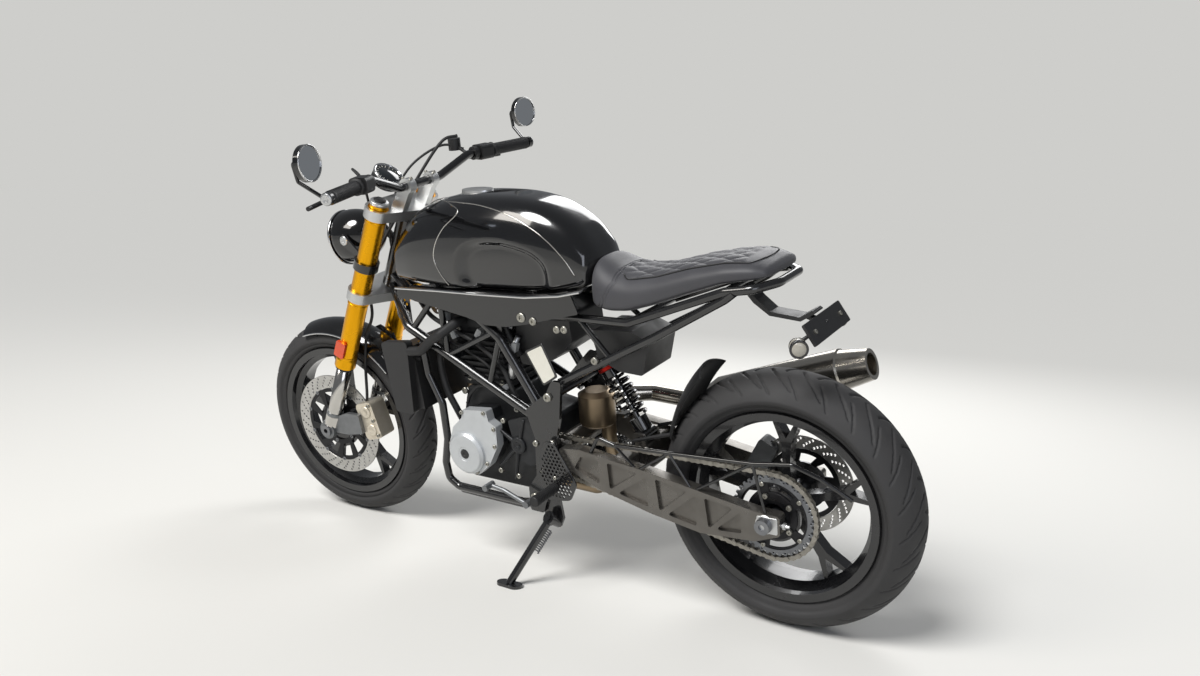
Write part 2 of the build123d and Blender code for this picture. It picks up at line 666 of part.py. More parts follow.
def on_bar(left, hand=1):
    """The point on the outer part of the handlebar, this far left of the middle."""
    share = (left - BAR_KNEE.Y) / (BAR_END.Y - BAR_KNEE.Y)
    point = BAR_KNEE + (BAR_END - BAR_KNEE) * share
    return Vector(point.X, hand * point.Y, point.Z)


with BuildPart() as upper_clamp:
    top = fork(0, 0, UPPER_CLAMP + CLAMP_T)
    for hand in (1, -1):
        with BuildSketch(side(hand * 46)) as post:
            with Locations((BAR_CENTRE.X, BAR_CENTRE.Z)):
                Circle(20)
            with BuildLine():
                Polyline((top.X - 14, top.Z - 6.4), (top.X + 18, top.Z + 8.6),
                         (BAR_CENTRE.X + 20, BAR_CENTRE.Z), (BAR_CENTRE.X - 20, BAR_CENTRE.Z),
                         close=True)
            make_face()
            with Locations((BAR_CENTRE.X, BAR_CENTRE.Z)):
                Circle(BAR_D / 2 + FIT, mode=Mode.SUBTRACT)
        extrude(post.sketch, amount=11, both=True)
    with BuildSketch(fork_plane(UPPER_CLAMP - 1)) as below:
        Rectangle(200, 260)
    extrude(below.sketch, amount=CLAMP_T, mode=Mode.SUBTRACT)
    clamp(UPPER_CLAMP, CLAMP_BOSS_D / 2, 28)
keep(upper_clamp, "upper_clamp", steers=True)

GRIP_D = 33.0
GRIP_START = 268.0
GRIP_END = 388.0
with BuildPart() as grips:
    for hand in (1, -1):
        bar(on_bar(GRIP_START, hand), on_bar(GRIP_END, hand), GRIP_D)
        bar(on_bar(GRIP_START, hand), on_bar(GRIP_START + 5, hand), GRIP_D + 8)
        bar(on_bar(GRIP_START - 2, hand), on_bar(GRIP_END + 2, hand), BAR_D + 2 * FIT, Mode.SUBTRACT)
keep(grips, "grips", steers=True)

RESERVOIR_AT = Vector(52, 0, 24)
with BuildPart() as bar_controls:
    for hand in (1, -1):
        with BuildSketch(along(on_bar(222, hand), on_bar(GRIP_START, hand))) as pod:
            RectangleRounded(46, 40, 10)
        extrude(pod.sketch, amount=40)
    for hand in (1, -1):
        bracket = on_bar(205, hand)
        with BuildSketch(along(bracket, on_bar(219, hand))) as ring:
            Circle(18)
        extrude(ring.sketch, amount=14)
        bar(bracket + Vector(4, hand * 4, -2), bracket + Vector(42, hand * 2, -14), 14)
        tube(
            (
                bracket + Vector(40, 0, -14),
                bracket + Vector(48, hand * 30, -16),
                bracket + Vector(40, hand * 160, -30),
                bracket + Vector(36, hand * 172, -30),
            ),
            11,
            4,
        )
    bar(on_bar(200, -1) + Vector(10, 0, 0), on_bar(200, -1) + RESERVOIR_AT, 9)
    bar(on_bar(200, -1) + RESERVOIR_AT - Vector(0, 0, 14), on_bar(200, -1) + RESERVOIR_AT + Vector(0, 0, 18), 34)
    for hand in (1, -1):
        bar(on_bar(190, hand), on_bar(GRIP_START, hand), BAR_D + 2 * FIT, Mode.SUBTRACT)
keep(bar_controls, "bar_controls", steers=True)

# Mirrors at the bar ends: plug, cranked arm and round shell; the glass is its own piece
MIRROR_D = 82.0
MIRROR_AT = fork(-3.3, 420, 925.1)
MIRROR_T = 14.0
mirror_facing = Vector(-0.97, -0.16, 0.05)


def mirror_plane(hand):
    """The plane at the back of the mirror's shell, looking at the rider."""
    origin = Vector(MIRROR_AT.X, hand * MIRROR_AT.Y, MIRROR_AT.Z)
    return Plane(origin=origin, z_dir=Vector(mirror_facing.X, hand * mirror_facing.Y, mirror_facing.Z))


with BuildPart() as mirrors:
    for hand in (1, -1):
        bar(on_bar(393, hand), on_bar(404, hand), 30)
        tube(
            (
                on_bar(399, hand) + Vector(8, 0, 0),
                on_bar(399, hand) + Vector(60, hand * 20, 40),
                on_bar(399, hand) + Vector(66, hand * 22, 83),
                Vector(MIRROR_AT.X + 26, hand * MIRROR_AT.Y, MIRROR_AT.Z + 1),
                Vector(MIRROR_AT.X + 4, hand * MIRROR_AT.Y, MIRROR_AT.Z),
            ),
            9,
            7,
        )
        with BuildSketch(mirror_plane(hand)) as shell:
            Circle(MIRROR_D / 2)
        extrude(shell.sketch, amount=MIRROR_T / 2, both=True)
        with BuildSketch(mirror_plane(hand).offset(MIRROR_T / 2)) as recess:
            Circle(MIRROR_D / 2 - 3)
        extrude(recess.sketch, amount=-3, mode=Mode.SUBTRACT)
keep(mirrors, "mirrors", steers=True)

with BuildPart() as mirror_glasses:
    for hand in (1, -1):
        with BuildSketch(mirror_plane(hand).offset(MIRROR_T / 2 - 3)) as glass:
            Circle(MIRROR_D / 2 - 3 - FIT)
        extrude(glass.sketch, amount=2)
keep(mirror_glasses, "mirror_glasses", steers=True)

# Headlight: a deep round shell with a lens, held by two arms from the fork tubes
LAMP_FRONT = fork(177.7, 0, 533.4)
LAMP_D = 148.0
LAMP_DIP = 10.0
lamp_axis = Vector(cos(radians(LAMP_DIP)), 0, -sin(radians(LAMP_DIP)))
lamp_plane = Plane(origin=LAMP_FRONT, x_dir=(0, 1, 0), z_dir=lamp_axis)
with BuildPart() as headlight:
    with BuildSketch(Plane(origin=LAMP_FRONT, x_dir=lamp_axis, z_dir=(0, -1, 0))) as half:
        with BuildLine():
            Polyline((0, 0), (0, LAMP_D / 2 - 6), (2, LAMP_D / 2), (-16, LAMP_D / 2))
            ThreePointArc((-16, LAMP_D / 2), (-80, LAMP_D / 2 - 26), (-112, 14))
            Polyline((-112, 14), (-112, 0), (0, 0))
        make_face()
    revolve(half.sketch, axis=Axis(LAMP_FRONT, lamp_axis))
keep(headlight, "headlight", steers=True)

with BuildPart() as headlight_lens:
    with BuildSketch(Plane(origin=LAMP_FRONT, x_dir=lamp_axis, z_dir=(0, -1, 0))) as half:
        with BuildLine():
            Line((0, 0), (0, LAMP_D / 2 - 8))
            ThreePointArc((0, LAMP_D / 2 - 8), (10, LAMP_D / 4), (15, 6))
            Polyline((15, 6), (15, 0), (0, 0))
        make_face()
    revolve(half.sketch, axis=Axis(LAMP_FRONT, lamp_axis))
keep(headlight_lens, "headlight_lens", steers=True)

LAMP_ARM_Y = 95.0
with BuildPart() as lamp_brackets:
    for hand in (1, -1):
        collar = 540.0
        with BuildSketch(fork_plane(collar)) as ring:
            with Locations((FORK_OFFSET, hand * LEG_Y)):
                Circle(FORK_TUBE_D / 2 + 6)
                Circle(FORK_TUBE_D / 2 + FIT, mode=Mode.SUBTRACT)
        extrude(ring.sketch, amount=24)
        near = fork(FORK_OFFSET + 32, hand * 90, collar + 12)
        plate(
            ((near.X - 2, near.Z - 10), (near.X + 4, near.Z + 12),
             (LAMP_FRONT.X - 58, LAMP_FRONT.Z + 30), (LAMP_FRONT.X - 50, LAMP_FRONT.Z - 2)),
            hand * (LAMP_D / 2 + 4), 6,
        )
        pin = LAMP_FRONT + Vector(-58, 0, 11)
        bar((pin.X, hand * (LAMP_D / 2 + 2), pin.Z), (pin.X, hand * (LAMP_D / 2 - 22), pin.Z), 16)
    with BuildSketch(Plane(origin=LAMP_FRONT, x_dir=lamp_axis, z_dir=(0, -1, 0))) as half:
        with BuildLine():
            Polyline((4, 0), (4, LAMP_D / 2 + FIT), (-16, LAMP_D / 2 + FIT))
            ThreePointArc((-16, LAMP_D / 2 + FIT), (-80, LAMP_D / 2 - 26 + FIT), (-112 - FIT, 14))
            Polyline((-112 - FIT, 14), (-112 - FIT, 0), (4, 0))
        make_face()
    revolve(half.sketch, axis=Axis(LAMP_FRONT, lamp_axis), mode=Mode.SUBTRACT)
keep(lamp_brackets, "lamp_brackets", steers=True)

# Instrument: a round dial above the clamps
DIAL_AT = fork(97, 0, UPPER_CLAMP + 60)
DIAL_R = 39.0
with BuildPart() as instrument:
    dial_plane = Plane(origin=DIAL_AT, x_dir=(0, 1, 0), z_dir=Vector(-0.62, 0, 0.78))
    with BuildSketch(dial_plane) as dial:
        Circle(DIAL_R)
    extrude(dial.sketch, amount=14, both=True)
    bar(fork(34, 0, UPPER_CLAMP + CLAMP_T + FIT), fork(34, 0, UPPER_CLAMP + CLAMP_T + 28), 16)
    bar(fork(34, 0, UPPER_CLAMP + CLAMP_T + 20), DIAL_AT, 12)
keep(instrument, "instrument", steers=True)

# Front fender: a short curved blade round the crown of the tyre
FENDER_GAP = 12.0
FENDER_T = 3.0
FENDER_FRONT = 70.0
FENDER_BACK = 140.0


def blade_profile(centre, inner, half_angle):
    """The curved section of a blade that follows a tyre's crown, centred at a radius."""
    outer = inner + FENDER_T
    a = radians(half_angle)

    def point(radius, angle):
        return (radius * sin(angle), centre + radius * cos(angle))

    with BuildLine() as section:
        ThreePointArc(point(inner, -a), point(inner, 0), point(inner, a))
        Line(point(inner, a), point(outer, a))
        ThreePointArc(point(outer, a), point(outer, 0), point(outer, -a))
        Line(point(outer, -a), point(inner, -a))
    make_face(section.edges())


with BuildPart() as front_fender:
    start = radians(FENDER_FRONT)
    spoke = Vector(cos(start), 0, sin(start))
    with BuildSketch(Plane(origin=FRONT_AXLE, x_dir=(0, 1, 0), z_dir=spoke.cross(Vector(0, 1, 0)) * -1)) as section:
        blade_profile(FRONT_TYRE_R - FRONT_CROWN_R, FRONT_CROWN_R + FENDER_GAP - 4, 58)
    revolve(section.sketch, axis=Axis(FRONT_AXLE, (0, -1, 0)), revolution_arc=FENDER_BACK - FENDER_FRONT)
    inner_side = LEG_Y - FORK_TUBE_D / 2 - FIT
    for hand in (1, -1):
        lug = [at_angle(FRONT_AXLE, r, radians(a)) for r, a in ((268, 104), (268, 126), (292, 120), (292, 110))]
        plate(lug, hand * 59, 6, 3)
        bar(fork(FORK_OFFSET, hand * 58, 280), fork(FORK_OFFSET, hand * inner_side, 280), 14)
keep(front_fender, "front_fender", steers=True)

# Front caliper: a radial four piston body over the disc, bolted to the left foot
CALIPER_ANGLE = 165.0
CALIPER_R = 152.0
with BuildPart() as front_caliper:
    a = radians(CALIPER_ANGLE)
    spot = FRONT_AXLE + Vector(cos(a), 0, sin(a)) * CALIPER_R
    body_plane = Plane(origin=(spot.X, FRONT_DISC_Y, spot.Z), x_dir=(-sin(a), 0, cos(a)),
                       z_dir=Vector(0, -1, 0))
    with BuildSketch(body_plane) as body:
        RectangleRounded(108, 60, 12)
    extrude(body.sketch, amount=CALIPER_HALF, both=True)
    with BuildSketch(facing(FRONT_AXLE, FRONT_DISC_Y)) as slot:
        Circle(FRONT_DISC_D / 2 + 3)
    extrude(slot.sketch, amount=DISC_T / 2 + RUN, both=True, mode=Mode.SUBTRACT)
keep(front_caliper, "front_caliper", steers=True)

# Engine: crankcase, cylinder and head, with covers on both sides
CASE_HALF = 78.0
ALTERNATOR_FORM = (
    (826, 443), (750, 451), (744, 423), (722, 412), (724, 357), (756, 301), (794, 269), (838, 268),
    (874, 293), (882, 344), (864, 390), (832, 420),
)
ALTERNATOR_BOSS = (824, 0, 326)
COVER_Y = 108.0
COVER_FACE = 134.0
with BuildPart() as engine:
    plate(
        ((604, 262), (640, 228), (868, 228), (892, 268), (892, 340), (862, 452), (850, 486),
         (712, 486), (690, 440), (604, 425)),
        -8, 2 * CASE_HALF, 12,
    )
    plate(((722, 486), (862, 486), (886, 640), (746, 652)), 0, 128, 6)
    plate(((740, 652), (892, 640), (900, 700), (880, 716), (760, 722), (748, 700)), 0, 150, 8)
    for forward, up, radius, depth in ((735, 350, 88, 34), (655, 372, 40, 22)):
        bar((forward, -CASE_HALF - 8, up), (forward, -CASE_HALF - 8 - depth, up), 2 * radius)
    boss = tuple((803 + 0.93 * (x - 803), 360 + 0.93 * (z - 360)) for x, z in ALTERNATOR_FORM)
    plate(boss, (CASE_HALF - 12 + COVER_Y) / 2, COVER_Y - CASE_HALF + 12, 4)
    mount_half = SWING_PLATE_Y - SWING_PLATE_T / 2 - FIT
    bar((622, -mount_half, 240), (622, mount_half, 240), 26)
    mount_half = RAIL_Y - RAIL_D / 2 - FIT
    bar((862, -mount_half, 571.7), (862, mount_half, 571.7), 20)
    bar((front_centre.X, 69, front_centre.Z), (front_centre.X, 103.7, front_centre.Z), 26)
    with BuildSketch(side(CHAIN_Y)) as teeth:
        with Locations(FRONT_SPROCKET):
            Circle(FRONT_PITCH_R - (PIN_D - 1.5) / 2 - FIT)
    extrude(teeth.sketch, amount=SPROCKET_T / 2, both=True)
keep(engine, "engine")

with BuildPart() as alternator_cover:
    plate(ALTERNATOR_FORM, (COVER_Y + COVER_FACE) / 2, COVER_FACE - COVER_Y, 5)
    turned(Vector(*ALTERNATOR_BOSS), ((COVER_Y + 4, 0), (COVER_Y + 4, 58), (COVER_FACE + 6, 56), (COVER_FACE + 12, 50),
                                      (COVER_FACE + 12, 14), (COVER_FACE + 9, 13), (COVER_FACE + 9, 0)))
keep(alternator_cover, "alternator_cover")

with BuildPart() as sprocket_cover:
    plate(
        ((700, 425), (640, 445), (618, 425), (606, 410), (606, 330), (640, 312), (694, 330), (690, 380)),
        108, 8, 6,
    )
keep(sprocket_cover, "sprocket_cover")

# Cooling: radiator, its cover plate and the hose on the left
RADIATOR_SIDE = ((982, 411), (1043, 411), (1068, 600), (976, 610))
with BuildPart() as radiator:
    with BuildSketch(side(0)) as section:
        with BuildLine():
            Polyline((958, 424), (996, 420), (1030, 590), (976, 594), close=True)
        make_face()
    extrude(section.sketch, amount=130, both=True)
    for hand in (1, -1):
        plate(RADIATOR_SIDE, hand * 138, 22, 10)
        bar((985, hand * 118, 560), (957.3, hand * 118, 560), 16)
keep(radiator, "radiator")

with BuildPart() as coolant_hose:
    tube(
        (
            Vector(974.3, 142, 584), Vector(935, 142, 590), Vector(900, 140, 620), Vector(866, 138, 640),
            Vector(838, 112, 664), Vector(838, 75 + FIT, 664),
        ),
        24,
        16,
    )
keep(coolant_hose, "coolant_hose")

# Tank: a lofted shell with two horns beside the steering head
# forward, half width, bottom, top, corner radius
TANK = (
    (436, 64, 784, 842, 24),
    (500, 94, 766, 920, 44),
    (600, 118, 757, 967, 60),
    (720, 128, 755, 980, 72),
    (850, 128, 755, 972, 66),
    (960, 118, 755, 940, 56),
    (1040, 104, 755, 860, 40),
)
CAP_AT = (812, 0)
CAP_Z = 968.0
STEER_AXIS = Axis(STEER_ORIGIN, UP_FORK)
TURN_GAP = 7.0
# places where the fork passes the tank as it turns, in degrees
RECESS_TURNS = (STEER_LOCK, STEER_LOCK - 12, STEER_LOCK - 24)
with BuildPart() as tank:
    rounded_loft(TANK, 12)
    with BuildSketch(Plane.XY.offset(700)) as notch:
        with Locations((1052, 0)):
            Rectangle(160, 144)
    extrude(notch.sketch, amount=400, mode=Mode.SUBTRACT)
    for turn in RECESS_TURNS:
        low = steered(fork(FORK_OFFSET, LEG_Y, LOWER_CLAMP), turn)
        high = steered(fork(FORK_OFFSET, LEG_Y, FORK_TOP + 20), turn)
        for hand in (1, -1):
            bar((low.X, hand * low.Y, low.Z), (high.X, hand * high.Y, high.Z),
                FORK_TUBE_D + 2 * TURN_GAP, Mode.SUBTRACT)
        low = steered(fork(FORK_OFFSET, LEG_Y, UPPER_CLAMP - TURN_GAP), turn)
        for hand in (1, -1):
            bar((low.X, hand * low.Y, low.Z), (high.X, hand * high.Y, high.Z),
                CLAMP_BOSS_D + 2 * TURN_GAP, Mode.SUBTRACT)
    with BuildSketch(Plane.XY.offset(CAP_Z)) as pocket:
        with Locations(CAP_AT):
            Ellipse(46 + FIT, 34 + FIT)
    extrude(pocket.sketch, amount=60, mode=Mode.SUBTRACT)
keep(tank, "tank")

with BuildPart() as fuel_cap:
    with BuildSketch(Plane.XY.offset(CAP_Z + FIT)) as lid:
        with Locations(CAP_AT):
            Ellipse(46, 34)
    extrude(lid.sketch, amount=14, taper=12)
keep(fuel_cap, "fuel_cap")

# Side panels below the tank, and the bright trim strip between them
PANEL_Y = 124.0
PANEL = (
    (470, 782), (600, 752), (740, 748), (1000, 746), (1010, 728), (880, 706), (780, 690),
    (724, 676), (660, 678), (600, 690), (517, 712), (448, 729),
)
with BuildPart() as side_panels:
    plate(PANEL, PANEL_Y + 3, 4, 5)
    for forward, up in ((860, 716), (800, 703)):
        bar((forward, PANEL_Y + 2, up), (forward, RAIL_Y + RAIL_D / 2 + FIT, up), 14)
    mirror(about=Plane.XZ)
keep(side_panels, "side_panels")

TRIM = ((437, 783), (496, 769), (595, 757.5), (741, 753), (873, 751), (1004, 747))
with BuildPart() as tank_trim:
    tube(tuple(Vector(x, PANEL_Y + 9, z) for x, z in TRIM), 7, 60)
    mirror(about=Plane.XZ)
keep(tank_trim, "tank_trim")

# Seat: a loft from the tank to the tail
# forward, half width, bottom, top, corner radius
SEAT = (
    (22, 84, 839, 852, 6),
    (60, 100, 829, 866, 14),
    (100, 103, 818, 863, 15),
    (185, 108, 785, 850, 16),
    (300, 110, 739, 820, 22),
    (400, 102, 727, 826, 26),
    (431, 92, 730, 842, 26),
)
with BuildPart() as seat:
    rounded_loft(SEAT, 6)
    for forward, up, high in ((330, 723, 745), (90, 814, 826)):
        for hand in (1, -1):
            bar((forward, hand * 60, up + FIT), (forward, hand * 60, high), 24)
keep(seat, "seat")

# Battery box under the seat
BOX = ((464, 673), (354, 679), (306, 660), (326, 576), (390, 579), (444, 604))
with BuildPart() as battery_box:
    plate(BOX, 0, 130, 8)
    for hand in (1, -1):
        bar((395, hand * 60, 619.6), (395, hand * (SEAT_RAIL_Y - SEAT_RAIL_D / 2 - 2 * FIT), 619.6), 16)
keep(battery_box, "battery_box")

# Shock absorber between the cross tube's bracket and the swing arm
shock_line = (SHOCK_LOW - SHOCK_TOP).normalized()
with BuildPart() as shock:
    bar(SHOCK_TOP + shock_line * 14, SHOCK_TOP + shock_line * 60, 50)
    bar(SHOCK_TOP + shock_line * 60, SHOCK_LOW - shock_line * 30, 16)
    bar(SHOCK_LOW - shock_line * 46, SHOCK_LOW - shock_line * 12, 46)
    eye_half = SHOCK_LUG_Y - SHOCK_LUG_T / 2 - FIT
    bolt_half = SHOCK_LUG_Y + SHOCK_LUG_T / 2
    for eye in (SHOCK_TOP, SHOCK_LOW):
        bar((eye.X, -eye_half, eye.Z), (eye.X, eye_half, eye.Z), 30)
        bar((eye.X, -bolt_half, eye.Z), (eye.X, bolt_half, eye.Z), SHOCK_BOLT_D)
keep(shock, "shock")

SPRING_TURNS = 6
SPRING_R = 27.0
WIRE_R = 4.5
with BuildPart() as shock_spring:
    start = SHOCK_TOP + shock_line * (60 + FIT + WIRE_R)
    coil_length = (SHOCK_LOW - shock_line * (46 + FIT + WIRE_R) - start).length
    with BuildLine() as coil:
        Helix(coil_length / SPRING_TURNS, coil_length, SPRING_R, center=start, direction=shock_line)
    with BuildSketch(Plane(origin=coil.line @ 0, z_dir=coil.line % 0)) as wire:
        RegularPolygon(WIRE_R, 6)
    sweep(wire.sketch, path=coil.line, is_frenet=True)
keep(shock_spring, "shock_spring")

# Air box behind the engine, with its throat to the head
AIRBOX = (
    (512, 640), (546, 606), (610, 566), (668, 566), (678, 600), (678, 640), (672, 698), (600, 722), (518, 704),
)
with BuildPart() as airbox:
    plate(AIRBOX, 0, 144, 10)
    bar((660, 0, 598), (734.2, 0, 598), 52)
keep(airbox, "airbox")

# Exhaust: header in front of the engine, chamber behind it and silencer on the right
PORT = Vector(896, 0, 670)
port_out = Vector(60, 0, -8).normalized()
CHAMBER_AT = (512, -12)
CHAMBER_R = 46.0
# height and radius of the chamber behind the engine, from its bottom to its neck
CHAMBER = ((402, 40), (408, CHAMBER_R), (482, CHAMBER_R), (492, 30))
with BuildPart() as exhaust_pipe:
    tube(
        (
            PORT + port_out * FIT, PORT + port_out * 38, Vector(932, -30, 560), Vector(926, -50, 290),
            Vector(896, -62, 200), Vector(560, -62, 196), Vector(490, -52, 270), Vector(500, -40, 350),
            Vector(500, -40, 410),
        ),
        38,
        22,
    )
    bar(PORT + port_out * FIT, PORT + port_out * 8, 58)
    with BuildSketch(Plane(origin=(*CHAMBER_AT, 0), x_dir=(1, 0, 0), z_dir=(0, -1, 0))) as half:
        with BuildLine():
            Polyline((0, CHAMBER[0][0]), *((radius, up) for up, radius in CHAMBER), (0, CHAMBER[-1][0]), close=True)
        make_face()
    revolve(half.sketch, axis=Axis((*CHAMBER_AT, 0), (0, 0, 1)))
keep(exhaust_pipe, "exhaust_pipe")

SILENCER_FRONT = Vector(300, -172, 440)
SILENCER_BACK = Vector(-128, -172, 586)
silencer_line = (SILENCER_BACK - SILENCER_FRONT).normalized()
with BuildPart() as silencer:
    length = (SILENCER_BACK - SILENCER_FRONT).length
    with BuildSketch(Plane(origin=SILENCER_FRONT, x_dir=silencer_line, z_dir=(0, -1, 0))) as half:
        with BuildLine():
            Polyline((0, 0), (0, 22), (60, 46), (length - 70, 50), (length - 66, 46), (length, 36),
                     (length, 26), (length - 40, 24), (length - 40, 0), close=True)
        make_face()
    revolve(half.sketch, axis=Axis(SILENCER_FRONT, silencer_line))
    tube(
        (
            Vector(505, CHAMBER_AT[1] - CHAMBER_R - FIT, 448), Vector(505, -111, 448),
            Vector(440, -165, 440),
            SILENCER_FRONT - silencer_line * 20, SILENCER_FRONT + silencer_line * 20,
        ),
        42,
        24,
    )
keep(silencer, "silencer")

# Chain guards: a rod frame over the chain and a lower rail
# lower end and upper end of each slanting rod, as forward and up
GUARD_RODS = (
    ((317, 370), (375, 422)),
    ((317, 370), (231, 428)),
    ((175, 346), (231, 428)),
    ((175, 346), (28, 440)),
    ((0, 326), (28, 440)),
)
with BuildPart() as chain_guard:
    tube(
        (
            Vector(450, 128, 380), Vector(420, 130, 434), Vector(375, 130, 422), Vector(232, 130, 428),
            Vector(28, 130, 440), Vector(-59, 128, 453), Vector(-119, 124, 432), Vector(-187, 118, 392),
        ),
        9,
        12,
    )
    for low, high in GUARD_RODS:
        bar((low[0], 130, low[1]), (high[0], 130, high[1]), 7)
    plate(ARM, ARM_Y, ARM_T + 2 * FIT, 0, Mode.SUBTRACT)
keep(chain_guard, "chain_guard")

# Heel guards and footpegs on their hangers
HANGER = ((596, 320), (566, 250), (500, 262), (478, 308), (536, 406), (566, 406))
PEG_AT = (540, 292)
with BuildPart() as footrests:
    for hand in (1, -1):
        plate(HANGER, hand * 146, 4, 8)
        for forward, up in ((556, 396), (580, 312)):
            bar((forward, hand * (SWING_PLATE_Y + 5 + FIT), up), (forward, hand * 144, up), 12)
        bar((PEG_AT[0], hand * 144, PEG_AT[1]), (PEG_AT[0], hand * 240, PEG_AT[1]), 26)
keep(footrests, "footrests")

PEDAL_PIVOT = (622, 236)
with BuildPart() as foot_levers:
    for hand, pad, width in ((1, (730, 268), 30), (-1, (726, 258), 44)):
        pivot_x, pivot_z = PEDAL_PIVOT
        bar((pivot_x, hand * (SWING_PLATE_Y + 5 + FIT), pivot_z), (pivot_x, hand * 172, pivot_z), 18)
        tube((Vector(pivot_x, hand * 165, pivot_z), Vector(690, hand * 165, pad[1] - 8),
              Vector(pad[0], hand * 168, pad[1])), 11, 20)
        bar((pad[0], hand * 158, pad[1]), (pad[0], hand * (162 + width), pad[1]), 16)
keep(foot_levers, "foot_levers")

# Plate holder: an arm behind the seat with a blank plate
HOLDER = (
    (97, 797.6), (66, 762), (30, 737), (-40, 731), (-74, 752), (-66, 757), (-38, 740), (28, 746), (58, 770),
    (86, 797.6),
)
PLATE_AT = (-89, 0, 727)
TAIL_LAMP_AT = Vector(-70, 108, 704)
LAMP_HALF = 13.0


def lamp_line(hand):
    """The centre of a rear lamp and the direction it faces."""
    return Vector(TAIL_LAMP_AT.X, hand * TAIL_LAMP_AT.Y, TAIL_LAMP_AT.Z), Vector(-0.5, hand * 0.866, 0)


with BuildPart() as plate_holder:
    plate(HOLDER, 0, 44, 2)
    with BuildSketch(Plane(origin=PLATE_AT, x_dir=(0, 1, 0), z_dir=Vector(-0.832, 0, 0.555))) as blank:
        RectangleRounded(196, 50, 4)
    extrude(blank.sketch, amount=3, both=True)
    bar((-48, 0, 738), PLATE_AT, 14)
    for hand in (1, -1):
        lamp = lamp_line(hand)
        tube((Vector(-88, hand * 60, 726), lamp[0] - lamp[1] * 24, lamp[0] - lamp[1] * (LAMP_HALF + FIT)), 8, 5)
keep(plate_holder, "plate_holder")

with BuildPart() as tail_lamps:
    for hand in (1, -1):
        lamp = lamp_line(hand)
        bar(lamp[0] - lamp[1] * LAMP_HALF, lamp[0] + lamp[1] * LAMP_HALF, 36)
keep(tail_lamps, "tail_lamps")

# Hugger: a thin curved blade in front of the rear tyre
HUGGER_CENTRE = Vector(-80, 0, 355)
HUGGER_R = 373.0
HUGGER_CROWN_R = 94.0
with BuildPart() as hugger:
    start = radians(12.3)
    spoke = Vector(cos(start), 0, sin(start))
    with BuildSketch(Plane(origin=HUGGER_CENTRE, x_dir=(0, 1, 0), z_dir=Vector(0, 1, 0).cross(spoke))) as section:
        blade_profile(HUGGER_R - HUGGER_CROWN_R, HUGGER_CROWN_R, 42)
    revolve(section.sketch, axis=Axis(HUGGER_CENTRE, (0, -1, 0)), revolution_arc=30)
    for hand in (1, -1):
        tube((Vector(267, hand * 50, 437), Vector(374, hand * 50, 402), Vector(374, hand * 50, 378 + FIT)), 9, 8)
keep(hugger, "hugger")

# Rear caliper on the right arm
with BuildPart() as rear_caliper:
    a = radians(28)
    spot = REAR_AXLE + Vector(cos(a), 0, sin(a)) * 112
    body_plane = Plane(origin=(spot.X, REAR_DISC_Y, spot.Z), x_dir=(-sin(a), 0, cos(a)), z_dir=(0, -1, 0))
    with BuildSketch(body_plane) as body:
        RectangleRounded(88, 50, 10)
    extrude(body.sketch, amount=ARM_IN + REAR_DISC_Y - FIT, both=True)
    with BuildSketch(facing(REAR_AXLE, REAR_DISC_Y)) as slot:
        Circle(REAR_DISC_D / 2 + 3)
    extrude(slot.sketch, amount=DISC_T / 2 + RUN, both=True, mode=Mode.SUBTRACT)
keep(rear_caliper, "rear_caliper")

# Side stand: bracket on the frame, leg with foot, swinging back and up about a tilted pin
with BuildPart() as side_stand:
    eye_half = stand_pin * (STAND_EYE_T / 2)
    bar(STAND_PIVOT - eye_half, STAND_PIVOT + eye_half, 34)
    bar(STAND_PIVOT + stand_line * 14.5, STAND_FOOT, 20)
    foot_plane = Plane(origin=STAND_FOOT, x_dir=(1, 0, 0),
                       z_dir=Vector(0, -sin(radians(LEAN)), cos(radians(LEAN))))
    with BuildSketch(foot_plane) as foot:
        SlotOverall(70, 36)
    extrude(foot.sketch, amount=-FOOT_T)
    bar(STAND_PIVOT - eye_half * 2, STAND_PIVOT + eye_half * 2, STAND_PIN_D + 2 * FIT, Mode.SUBTRACT)
keep(side_stand, "side_stand")


# Parking: turn the steering, lean onto the stand, and centre the machine on its bottom
def leaned(shape, steers):
    """The shape turned with the steering and leaned onto the stand."""
    placed = shape.rotate(STEER_AXIS, STEER_REST) if steers else shape
    return placed.rotate(Axis.X, -LEAN)


placed = {label: leaned(piece, label in on_fork) for label, piece in pieces.items()}
boxes = [piece.bounding_box() for piece in placed.values()]
low = Vector(min(b.min.X for b in boxes), min(b.min.Y for b in boxes), min(b.min.Z for b in boxes))
high = Vector(max(b.max.X for b in boxes), max(b.max.Y for b in boxes), max(b.max.Z for b in boxes))
shift = Vector(-(low.X + high.X) / 2, -(low.Y + high.Y) / 2, -low.Z)
for label, piece in placed.items():
    piece = piece.moved(Location(shift))
    piece.label = label
    export_step(piece, f"parts/{label}.step")
print("overall", high - low, "shift", shift)
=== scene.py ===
"""The looks of a standard motorcycle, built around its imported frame.

Places are worked out on the upright machine, in millimetres: X forward, Y to the rider's
left, Z up, with the origin on the ground under the rear axle. place() leans them, turns
what steers, and gives them in the frame's metres.
"""

import json
import math

import bmesh
import bpy
import numpy as np
from mathutils import Matrix


